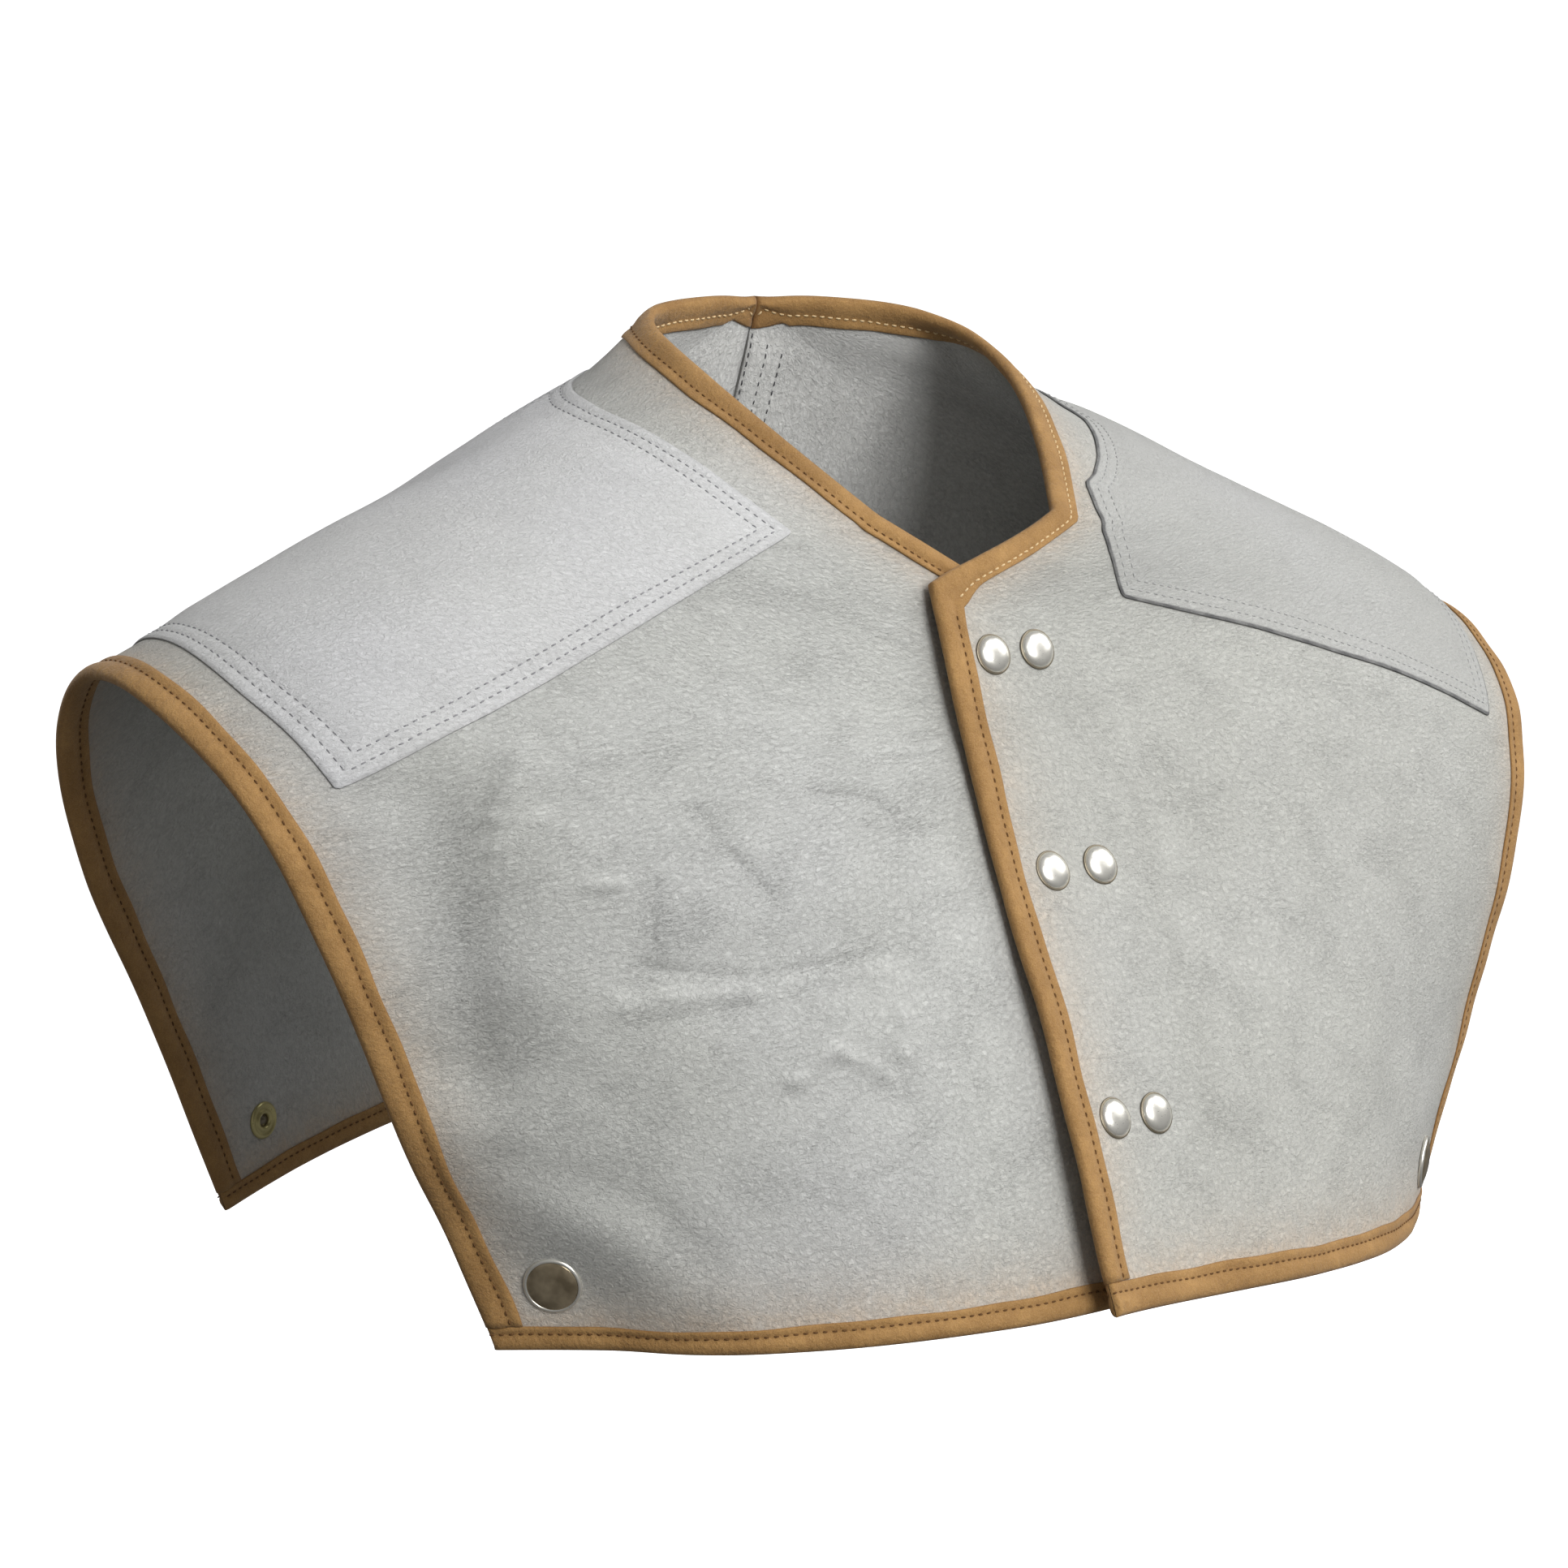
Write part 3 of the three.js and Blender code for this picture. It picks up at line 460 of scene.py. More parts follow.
def suede_material(name, light, dark, tint, fuzz):
    """Suede in two tones: tint is the share of the cool patches, fuzz how rough and marked the nap is."""
    m = Nodes(name)
    flat = m.add("ShaderNodeUVMap", uv_map="flat").outputs["UV"]
    clouds = m.ramp(m.noise(m.place, 15, 4, 0.6), 0.32, 0.68)
    cool = m.ramp(m.noise(m.place, 7.5, 2), 0.42, 0.66, 0.0, tint)
    patches = m.ramp(m.noise(flat, 42, 4, 0.62, 0.5), 0.47, 0.66)
    mottle = m.ramp(m.noise(flat, 150, 4, 0.65, 0.6), 0.3, 0.7)
    crumbs = m.noise(flat, 520, 5, 0.7, 0.8)
    nap = m.noise(flat, 1500, 3, 0.7)
    strokes = m.ramp(m.noise(m.stretch(flat, (430, 1500, 1), 33), 1, 3, 0.6, 0.9), 0.54, 0.70)
    for scale, turn in (((470, 1700, 1), -41), ((450, 1600, 1), 78)):
        more = m.ramp(m.noise(m.stretch(flat, scale, turn), 1, 3, 0.6, 0.9), 0.56, 0.72)
        strokes = m.math("MAXIMUM", strokes, more)
    # Near narrow hollows the colour gets painted shade, and the nap gets more strokes and crinkles
    crease = m.math("MULTIPLY", m.attribute("crease"), m.ramp(crumbs, 0.35, 0.6, 0.15, 0.6))
    crinkle = m.math("MULTIPLY", m.attribute("crease"), m.noise(flat, 330, 4, 0.7, 1.2))
    patches_and_crease_shade = m.math("ADD", m.math("MULTIPLY", patches, 0.6), crease)
    strokes = m.math("MULTIPLY", strokes, m.ramp(patches_and_crease_shade, 0, 1, 0.2, 1.0))
    warm = m.math("MULTIPLY", m.attribute("edge_warmth"), m.ramp(mottle, 0, 1, 0.45, 0.85))
    colour = m.paint(clouds, dark, light, [
        (cool, (0.64, 0.64, 0.7)),
        # painted shade in the narrow hollows, over the darker patches of the suede
        (m.ramp(patches_and_crease_shade, 0, 1, 0.0, 0.05 * fuzz), (0.34, 0.345, 0.33)),
        (m.ramp(mottle, 0, 1, 0.06 * fuzz, 0.0), (0.36, 0.36, 0.35)),
        (warm, (0.72, 0.57, 0.42)),
        # painted light on the inside of the upper back
        (m.attribute("pale"), (0.9, 0.9, 0.87)),
        (m.ramp(crumbs, 0.35, 0.65, 0.2 + 0.1 * fuzz, 0.0), (0.2, 0.2, 0.195)),
        (m.ramp(nap, 0.35, 0.65, 0.0, 0.16), (0.76, 0.76, 0.75)),
        (m.math("MULTIPLY", strokes, 0.5 * fuzz), (0.16, 0.16, 0.155)),
        (m.attribute("edge_shade"), (0.07, 0.07, 0.075)),
    ])
    soft = m.bumps(
        (m.noise(flat, 120, 4, 0.6, 0.8), 0.0008, 0.5 * fuzz), (crumbs, 0.0012, 0.6 + 0.4 * fuzz),
        (crinkle, 0.0008, 0.8 * fuzz), (strokes, 0.0004, 0.7 * fuzz), (nap, 0.0003, 0.7))
    return m.finish(Base_Color=colour, Normal=soft, Roughness=0.95, Specular_IOR_Level=0.1,
                    Sheen_Weight=0.15, Sheen_Roughness=0.6)


def binding_material():
    m = Nodes("tan_binding")
    clouds = m.ramp(m.noise(m.place, 55, 4, 0.6), 0.3, 0.7)
    grain = m.noise(m.place, 900, 4, 0.65)
    fibres = m.noise(m.place, 2600, 2, 0.6)
    spots = m.noise(m.place, 240, 4, 0.65, 0.4)
    colour = m.paint(clouds, (0.3, 0.162, 0.05), (0.45, 0.257, 0.09), [
        (m.ramp(spots, 0.35, 0.6, 0.3, 0.0), (0.22, 0.11, 0.035)),
        (m.ramp(grain, 0.35, 0.65, 0.3, 0.0), (0.26, 0.13, 0.045)),
        (m.ramp(fibres, 0.4, 0.7, 0.0, 0.22), (0.72, 0.48, 0.24)),
        # painted shade along the stitches, the inner rim and the fold, and the darker tone at the neck join
        (m.math("MULTIPLY", m.attribute("groove"), 0.55), (0.2, 0.095, 0.03)),
    ])
    normal = m.bumps((spots, 0.0012, 0.6), (grain, 0.0005, 0.7), (fibres, 0.00015, 0.5))
    return m.finish(Base_Color=colour, Normal=normal, Roughness=m.ramp(grain, 0.3, 0.7, 0.72, 0.9),
                    Specular_IOR_Level=0.22, Sheen_Weight=0.12, Sheen_Roughness=0.5)


def metal_material(name, bright, dull, roughness, dull_share, metallic):
    """Metal in two tones mixed in patches, with fine scratches: dull_share is the share of the dull tone. On
    the large dome and the cap rims the tones are painted reflection and painted shade.
    """
    m = Nodes(name)
    tone_patches = m.ramp(m.noise(m.place, 120, 3, 0.5), 0.35, 0.65)
    scratch = m.noise(m.stretch(m.place, (900, 5200, 900), 24), 1, 3, 0.6)
    return m.finish(Base_Color=m.mix(m.math("MULTIPLY", tone_patches, dull_share), bright, dull), Metallic=metallic,
                    Roughness=m.ramp(scratch, 0.3, 0.7, roughness * 0.9, roughness * 1.1))


def thread_material(name, light, dark):
    m = Nodes(name)
    twist = m.noise(m.place, 3200, 2, 0.6)
    return m.finish(Base_Color=m.mix(m.ramp(twist, 0.35, 0.65), dark, light),
                    Normal=m.bumps((twist, 0.0001, 0.6)), Roughness=0.8, Specular_IOR_Level=0.2)


SUEDE = {
    "right": suede_material("grey_suede", (0.668, 0.673, 0.632), (0.643, 0.648, 0.608), tint=0.2, fuzz=1.0),
    "left": suede_material("smooth_suede", (0.63, 0.63, 0.58), (0.592, 0.592, 0.545), tint=0.1, fuzz=0.95),
}
# Both pads are one suede, painted lighter on the right pad and darker on the left: painted light and painted
# shade
PAD_SUEDE = {
    "right": suede_material("right_pad_suede", (0.77, 0.77, 0.76), (0.72, 0.72, 0.712), tint=0.35, fuzz=0.5),
    "left": suede_material("left_pad_suede", (0.54, 0.54, 0.512), (0.5, 0.5, 0.475), tint=0.15, fuzz=0.5),
}
TAN = binding_material()
NICKEL = metal_material("nickel_plate", (0.88, 0.86, 0.79), (0.74, 0.72, 0.65),
                        roughness=0.3, dull_share=0.35, metallic=0.85)
# The large cap's dome: nickel painted brown, as a painted reflection of dark surroundings
REFLECTION_NICKEL = metal_material("worn_nickel", (0.56, 0.46, 0.31), (0.2, 0.155, 0.095),
                             roughness=0.16, dull_share=0.9, metallic=0.75)
# Painted shade: the dark outline round the small caps and the dark core in the eyelet hole
SHADE_NICKEL = metal_material("dark_nickel", (0.27, 0.235, 0.175), (0.19, 0.165, 0.12),
                             roughness=0.35, dull_share=0.5, metallic=0.8)
BRASS = metal_material("dull_brass", (0.62, 0.55, 0.26), (0.34, 0.3, 0.14),
                       roughness=0.3, dull_share=0.5, metallic=0.7)
PAD_THREAD = {
    "right": thread_material("grey_thread", (0.4, 0.4, 0.41), (0.22, 0.22, 0.23)),
    "left": thread_material("pale_thread", (0.5, 0.5, 0.49), (0.36, 0.36, 0.355)),
}
DARK_THREAD = thread_material("dark_thread", (0.14, 0.14, 0.145), (0.06, 0.06, 0.065))
# One tan thread in two tones: dark as painted shade where its stitches lie in shadow, cream as painted light
# where they are lit
SHADED_THREAD = thread_material("tan_thread", (0.2, 0.1, 0.035), (0.09, 0.045, 0.018))
LIT_THREAD = thread_material("cream_thread", (0.86, 0.68, 0.42), (0.6, 0.42, 0.2))


# Mesh building

def add_piece(name, points, faces, material, replaces=(), uv=None, weights=None):
    """Adds a mesh piece, with points in millimetres, that rides on the vest."""
    mesh = bpy.data.meshes.new(name)
    mesh.from_pydata((np.asarray(points) * MM).tolist(), [], [list(map(int, f)) for f in faces])
    mesh.polygons.foreach_set("use_smooth", np.ones(len(mesh.polygons), bool))
    mesh.materials.append(material)
    if uv is not None:
        corner = np.zeros(len(mesh.loops), np.int32)
        mesh.loops.foreach_get("vertex_index", corner)
        layer = mesh.uv_layers.new(name="flat")
        layer.data.foreach_set("uv", (np.asarray(uv) * MM)[corner].astype(np.float32).ravel())
    for key, values in (weights or {}).items():
        attribute = mesh.attributes.new(key, "FLOAT", "POINT")
        attribute.data.foreach_set("value", np.asarray(values, np.float32).ravel())
    mesh.update()
    piece = bpy.data.objects.new(name, mesh)
    bpy.context.scene.collection.objects.link(piece)
    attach(piece, "root")
    if replaces:
        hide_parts(*replaces)
    return piece


def outward(points, faces):
    """The faces of a closed mesh, turned so that they look outwards."""
    volume = sum(points[face[0]] @ np.cross(points[face[k]], points[face[k + 1]])
                 for face in faces for k in range(1, len(face) - 1))
    return faces if volume > 0 else [face[::-1] for face in faces]


def tube(rings, sides):
    """Corner numbers of a tube's rings, the same one side further round, and the faces of its wall."""
    index = np.arange(rings * sides).reshape(rings, sides)
    turned = np.roll(index, -1, 1)
    walls = np.stack([index[:-1], turned[:-1], turned[1:], index[1:]], -1).reshape(-1, 4)
    return index, turned, walls.tolist()


def slab_faces(rows, columns, flip):
    """Faces of a closed slab whose top and bottom are meshes of the same rows and columns."""
    index = np.arange(rows * columns).reshape(rows, columns)
    top = np.stack([index[:-1, :-1], index[:-1, 1:], index[1:, 1:], index[1:, :-1]], -1).reshape(-1, 4)
    rim = np.concatenate([index[0, :-1], index[:-1, -1], index[-1, :0:-1], index[:0:-1, 0]])
    after = np.roll(rim, -1)
    count = rows * columns
    wall = np.stack([after, rim, rim + count, after + count], 1)
    faces = np.concatenate([top, top[:, ::-1] + count, wall])
    return faces[:, ::-1] if flip else faces


# Leather halves

COARSE_STEP = 3.6
FINE_STEP = 1.3
FINE_ROWS = (ROWS.index("front_low"), ROWS.index("front_mid"))
FINE_COLUMNS = (0.24, 0.8)
LENGTH_COLUMN = 0.4
LENGTH_SAMPLES = 21
SEAM_GROOVE = 0.6
SEAM_GROOVE_WIDTH = 1.3
SEAM_FOLD = 20.0
SEAM_FOLD_THICK = 1.0
SEAM_FOLD_SLOPE = 2.0
SEAM_FOLD_FADE = (1.0, 0.3)
STRIP_WIDTH = 10.8
WARM_REACH = 9.0
INSIDE_SHIFT = 5000.0  # between the textures of a leather's two faces
SUEDE_WEIGHTS = ("edge_warmth", "crease", "pale", "edge_shade")

# The inside of the upper back gets painted light, which makes it paler than the rest: a share, and the start
# and width of each fade
INSIDE_LIGHT_SHARE = 0.9
INSIDE_LIGHT_ACROSS = (0.6, -0.3)
INSIDE_LIGHT_FROM = (5.5, 0.5)
INSIDE_LIGHT_TO = (LAST_ROW - 0.2, -0.8)


def edge_distance(points, axis):
    """Distance in millimetres along the mesh lines from their two ends."""
    step = np.linalg.norm(np.diff(points, axis=axis), axis=-1)
    zero = np.zeros_like(np.take(step, [0], axis))
    run = np.concatenate([zero, np.cumsum(step, axis)], axis)
    return run, np.take(run, [-1], axis) - run


def seam_fold(v):
    """Thickness of the seam allowance that lies folded on the left half's inside."""
    from_neck = (v - BACK_NECK_ROW) / LEFT.neck_band
    from_hem = (LAST_ROW - v) / LEFT.hem_band["back"]
    return SEAM_FOLD_THICK * smoothstep(from_neck, *SEAM_FOLD_FADE) * smoothstep(from_hem, *SEAM_FOLD_FADE)


def suede_slab(name, node, half, material, u, v, middle, heights, shift=0.0, **weights):
    """A closed suede piece over places on a half, from the heights of its top and bottom.
    Each weight is one set of values for both faces, or two sets."""
    normal = half.normal(u, v)
    points = np.concatenate([(middle + normal * height[..., None]).reshape(-1, 3) for height in heights])
    flat = np.stack([u * PANEL_WIDTH + shift, v * ROW_LENGTH], -1).reshape(-1, 2)
    values = {key: np.broadcast_to(weights.get(key, 0.0), (2, *u.shape)) for key in SUEDE_WEIGHTS}
    return add_piece(
        f"{name}_{half.name}", points, slab_faces(*u.shape, half.sign < 0), material,
        replaces=[f"{node}_{half.name}"], uv=np.concatenate([flat, flat + INSIDE_SHIFT]), weights=values)


def body_piece(half):
    low, high = FINE_COLUMNS
    u_lines = np.concatenate([
        np.arange(0, low, COARSE_STEP / PANEL_WIDTH), np.arange(low, high, FINE_STEP / PANEL_WIDTH),
        np.linspace(high, 1, round((1 - high) * PANEL_WIDTH / COARSE_STEP) + 1)])
    u, v = np.meshgrid(u_lines, half.even_rows())
    middle = half.at(u, v)
    inner, side = edge_distance(middle, 1)
    front, back = edge_distance(middle, 0)
    at_seam = v >= BACK_NECK_ROW
    top = LEATHER_TOP - np.where(at_seam, SEAM_GROOVE * bell(inner, SEAM_GROOVE_WIDTH), 0)
    bottom = np.full_like(u, -LEATHER_TOP)
    if half is LEFT:
        bottom -= seam_fold(v) * smoothstep(inner, SEAM_FOLD, -SEAM_FOLD_SLOPE)
    bound = np.minimum.reduce([np.where(at_seam, np.inf, inner), side, front, back])
    warmth = np.exp(-np.maximum(0, bound - STRIP_WIDTH) / WARM_REACH)
    pale = INSIDE_LIGHT_SHARE * smoothstep(u, *INSIDE_LIGHT_ACROSS) * smoothstep(v, *INSIDE_LIGHT_FROM) * smoothstep(v, *INSIDE_LIGHT_TO)
    return suede_slab("suede_half", "body", half, SUEDE[half.name], u, v, middle, (top, bottom),
                      edge_warmth=warmth, crease=half.hollow_shade_and_nap(u, v), pale=np.stack([0 * pale, pale]))


bodies = {half.name: body_piece(half) for half in HALVES}


# Shoulder pads

SEAT_GAP = 0.05
PAD_LOW = LEATHER_TOP + SEAT_GAP
PAD_STITCH_ROWS = (5.0, 10.0)
PAD_CORNER_RADIUS = 2.0
PAD_EDGE_THICK = 1.0
PAD_DIP = {"right": 0.28, "left": 0.12}
PAD_DIP_WIDTH = 0.9
PAD_RIM_DROP = 0.45
PAD_RIM_WIDTH = 0.8
PAD_SLOPE = (9.0, 16.0)
PAD_EDGE_SHADE = {"right": 0.12, "left": 0.88}
PAD_SHADE_WIDTH = (1.75, -0.9)
PAD_UNEVEN = dict(mean=0.8, swing=0.2, bend=1, lengths=(2.3, 3.1, 1.9, 5.7))
PAD_EDGE_LINES = (0, 0.45, 0.85, 1.15, 1.6, 2.3, 3.2, 4.1, 4.6, 5, 5.4, 5.9, 7, 8,
                  9.1, 9.6, 10, 10.4, 10.9, 12, 14)
PAD_STEP = 2.3
PAD_SHIFT = 900.0  # between the textures of a pad and its half
PAD_SAMPLES = 120
PAD_ROW_SAMPLES = 160


def pad_place(half, across, along):
    """Places on a half from places on its pad."""
    ends = np.array(list(PAD_ROWS[half.name].values()))
    row = np.clip(np.floor(along).astype(int), 0, len(ends) - 2)
    share, across = (along - row)[..., None, None], across[..., None]
    inner, outer = np.moveaxis(ends[row] * (1 - share) + ends[row + 1] * share, -2, 0)
    return np.moveaxis(inner * (1 - across) + outer * across, -1, 0)


def pad_lines(length):
    edge = np.array(PAD_EDGE_LINES, float)
    middle = np.linspace(edge[-1], length - edge[-1], round((length - 2 * edge[-1]) / PAD_STEP) + 1)
    return np.concatenate([edge, middle[1:-1], length - edge[::-1]])


def rounded(near, far):
    """Moves the points near a corner so that a square corner becomes a round one."""
    x, y = PAD_CORNER_RADIUS - near, PAD_CORNER_RADIUS - far
    inside = (x > 0) & (y > 0)
    shrink = np.where(inside, np.maximum(x, y) / np.maximum(np.hypot(x, y), TINY), 1)
    return np.where(inside, x * (1 - shrink), 0), np.where(inside, y * (1 - shrink), 0)


class Pad:
    """A shoulder pad's mesh places on its half, with each point's distance from the four edges."""

    def __init__(self, half):
        self.half = half
        ends = len(PAD_ROWS[half.name]) - 1
        fine = np.linspace(0, 1, PAD_SAMPLES)
        middle = np.full_like(fine, 0.5)
        run_across = path_length(half.at(*pad_place(half, fine, middle * ends)))
        run_along = path_length(half.at(*pad_place(half, middle, fine * ends)))
        self.wide, self.deep = run_across[-1], run_along[-1]
        self.place = lambda x, y: pad_place(
            half, np.interp(x, run_across, fine), np.interp(y, run_along, fine * ends))
        self.x, self.y = np.meshgrid(pad_lines(self.wide), pad_lines(self.deep))
        x, y = self.x.copy(), self.y.copy()
        for from_left in (True, False):
            for from_front in (True, False):
                dx, dy = rounded(self.x if from_left else self.wide - self.x,
                                 self.y if from_front else self.deep - self.y)
                x += dx if from_left else -dx
                y += dy if from_front else -dy
        self.u, self.v = self.place(x, y)
        self.edge = np.minimum.reduce([self.x, self.wide - self.x, self.y, self.deep - self.y])

    def height(self, edge):
        """Height of the pad's top at a distance from its edge."""
        dips = sum(bell(edge - row, PAD_DIP_WIDTH) for row in PAD_STITCH_ROWS)
        rim = PAD_RIM_DROP * bell(edge, PAD_RIM_WIDTH)
        swell = (PAD_THICK - PAD_EDGE_THICK) * smoothstep(edge, *PAD_SLOPE)
        return PAD_LOW + PAD_EDGE_THICK + swell - PAD_DIP[self.half.name] * dips - rim

    def piece(self):
        name = self.half.name
        shade = PAD_EDGE_SHADE[name] * smoothstep(self.edge, *PAD_SHADE_WIDTH)
        heights = self.height(self.edge), np.full_like(self.u, PAD_LOW)
        return suede_slab(
            "suede_pad", "shoulder_pad", self.half, PAD_SUEDE[name], self.u, self.v,
            self.half.at(self.u, self.v), heights, PAD_SHIFT,
            edge_shade=shade * uneven(self.x, self.y, **PAD_UNEVEN))

    def stitch_row(self, which, inset):
        """Points and normals of a stitch row, `inset` millimetres inside one edge of the pad."""
        x, y = (np.linspace(inset, size - inset, PAD_ROW_SAMPLES) for size in (self.wide, self.deep))
        x, y = {"front": (x, inset), "back": (x, self.deep - inset),
                "inner": (inset, y), "outer": (self.wide - inset, y)}[which]
        u, v = self.place(*np.broadcast_arrays(x, y))
        return self.half.lifted(u, v, self.height(inset)), self.half.normal(u, v)


pads = {half.name: Pad(half) for half in HALVES}
pad_pieces = {name: pad.piece() for name, pad in pads.items()}


# Binding around the edges
# reach: inwards from the leather's edge, height: above the leather's middle

STITCH_REACH = 7.0
BINDING_FACE = [
    (10.6, 0.95), (10.85, 1.25), (10.75, 1.6), (10.3, 1.82), (9.4, 1.92), (8.4, 1.84), (7.6, 1.66),
    (STITCH_REACH, 1.58), (6.3, 1.7), (5.2, 2.08), (3.9, 2.4), (2.4, 2.5), (1.0, 2.35), (0.0, 2.05),
]
BINDING_FOLD = [(-0.6, 1.65), (-1.05, 1.1), (-1.3, 0.5), (-1.35, 0.0)]
BINDING_INSIDE = [(-0.3, -0.95), (-0.3, 0.95)]
BINDING_STEP = 2.6
CORNER_ROUND = 5.0
CORNER_PULL = 0.45
CORNER_FAN = 7
CORNER_TURN = 0.004  # rows from the neck corner to the ends of its fan
CORNER_REST = 0.006  # rows from the neck corner to the rest of the strip
CORNER_UNSEWN = 0.02
MITRE_ROWS = 0.25
HEM_COVER = 0.91
HEM_SHARE = {"right": {"front": 0.72, "back": 0.85}, "left": {"front": 0.85, "back": 0.85}}
HEM_INSET = 0.01
HEM_PAST = 1.0
HEM_END = [(0.0, 0.1), (0.3, 0.6), (0.8, 0.9), (1.6, 1.0)]  # millimetres inside the end, share of the height
SQUARE_FROM = 6.2  # from this row on, the neck strip is laid square to its edge
SEAM_ROWS = 0.3
SEAM_PLACE = 0.03
SHORT_SAMPLES = 300
LONG_SAMPLES = 400

# Slow changes of width and height along a strip: share and length in millimetres
SPREAD_WAVES = [(0.025, 13), (0.02, 5.3)]
PUFF_WAVES = [(0.06, 9), (0.05, 4.1)]
SPREAD_FROM = 3.0
PHASE_RANGE = 6.28
SEEDS = {"front_neck": 3, "side": 13, "front_hem": 23, "back_hem": 113}

# Shares of painted shade along the stitches, the inner rim and the fold, and of the darker tone at the join
# of the neck strips
STITCH_SHADE = 0.4
STITCH_SHADE_WIDTH = 0.8
RIM_SHADE = 0.7
RIM_FROM = 10.5
FOLD_SHADE = 0.35
FOLD_FROM = -0.9
NECK_JOIN = {"right": 0.5, "left": 1.0}
JOIN_WIDTH = 1.2
JOIN_BAND = 0.5
JOIN_BAND_WIDTH = 14.0


def binding_profile():
    upper = BINDING_FACE + BINDING_FOLD
    lower = [(reach, -height) for reach, height in upper[-2::-1]]
    return np.array(upper + lower + BINDING_INSIDE)


PROFILE = binding_profile()
REACHES = PROFILE[:, 0]
BINDING_SHADE = (STITCH_SHADE * bell(REACHES - STITCH_REACH, STITCH_SHADE_WIDTH)
          + np.where(REACHES > RIM_FROM, RIM_SHADE, 0) + np.where(REACHES < FOLD_FROM, FOLD_SHADE, 0))


class Strip:
    """A binding strip: rings of the profile at stations along an edge of a half.
    place(reach) gives each station's place on the half, reach millimetres inside the edge."""

    def __init__(self, name, half, place, corner=None, thin=1.0, join=0.0):
        self.name, self.half, self.place, self.join = name, half, place, join
        self.edge = half.at(*place(0.0))
        self.edge_normal = half.normal(*place(0.0))
        self.along = path_length(self.edge)
        self.thin = np.broadcast_to(thin, self.along.shape)
        run = np.gradient(self.edge, axis=0)
        self.past = np.ones(len(self.edge))
        if corner is not None:
            run[corner] = np.linspace(run[corner.start - 1], run[corner.stop], len(self.edge[corner]))
            away = np.abs(self.along - self.along[corner].mean())
            self.past -= CORNER_PULL * bell(away, CORNER_ROUND)
        run = unit(run)
        inward = half.at(*place(BINDING_WIDTH)) - self.edge
        inward -= run * dot(inward, run)
        inward -= self.edge_normal * dot(inward, self.edge_normal)
        self.inward = unit(inward)
        phase = np.random.default_rng(half.sign + SEEDS[name]).uniform(0, PHASE_RANGE, 4)
        self.spread, self.puff = (
            1 + sum(share * np.sin(self.along / length + start)
                    for (share, length), start in zip(waves, starts))
            for waves, starts in ((SPREAD_WAVES, phase[:2]), (PUFF_WAVES, phase[2:])))

    def line(self, reach, height):
        """Points and normals of a line along the strip."""
        if reach < 0:
            past = self.inward * (reach * self.past)[:, None]
            return self.edge + past + self.edge_normal * (height * self.thin)[:, None], self.edge_normal
        u, v = self.place(reach * self.spread if reach > SPREAD_FROM else reach)
        normal = self.half.normal(u, v)
        rise = np.sign(height) * (LEATHER_TOP + (abs(height) - LEATHER_TOP) * self.puff) * self.thin
        return self.half.at(u, v) + normal * rise[..., None], normal

    def piece(self, replaces):
        rings = np.stack([self.line(reach, height)[0] for reach, height in PROFILE], 1)
        index, _, walls = tube(*rings.shape[:2])
        faces = walls + [index[0, ::-1].tolist(), index[-1].tolist()]
        points = rings.reshape(-1, 3)
        left = self.along[-1] - self.along
        joint = self.join * (bell(left, JOIN_WIDTH) + JOIN_BAND * bell(left, JOIN_BAND_WIDTH))
        # The groove weights carry painted shade, and the darker tone at the neck join
        return add_piece(f"binding_{self.name}_{self.half.name}", points, outward(points, faces), TAN,
                         replaces=replaces, weights={"groove": BINDING_SHADE[None] + joint[:, None]})

    def stitch_row(self, side, keep=slice(None)):
        """Points and normals of the stitch row on the outside (side 1) or the inside (side -1)."""
        groove = np.interp(STITCH_REACH, *zip(*sorted(BINDING_FACE)))
        points, normal = self.line(STITCH_REACH, side * groove)
        return points[keep], normal[keep] * side


def spaced(half, u, v):
    """The places again, spaced about evenly in millimetres."""
    u, v = np.broadcast_arrays(u, v)
    run = path_length(half.at(u, v))
    even = np.linspace(0, run[-1], max(3, round(run[-1] / BINDING_STEP)) + 1)
    return np.interp(even, run, u), np.interp(even, run, v)


def hem_cover(half, end):
    """Length of the half that the hem strip hides at its front or back end."""
    return half.hem_band[end] * HEM_COVER * HEM_SHARE[half.name][end]


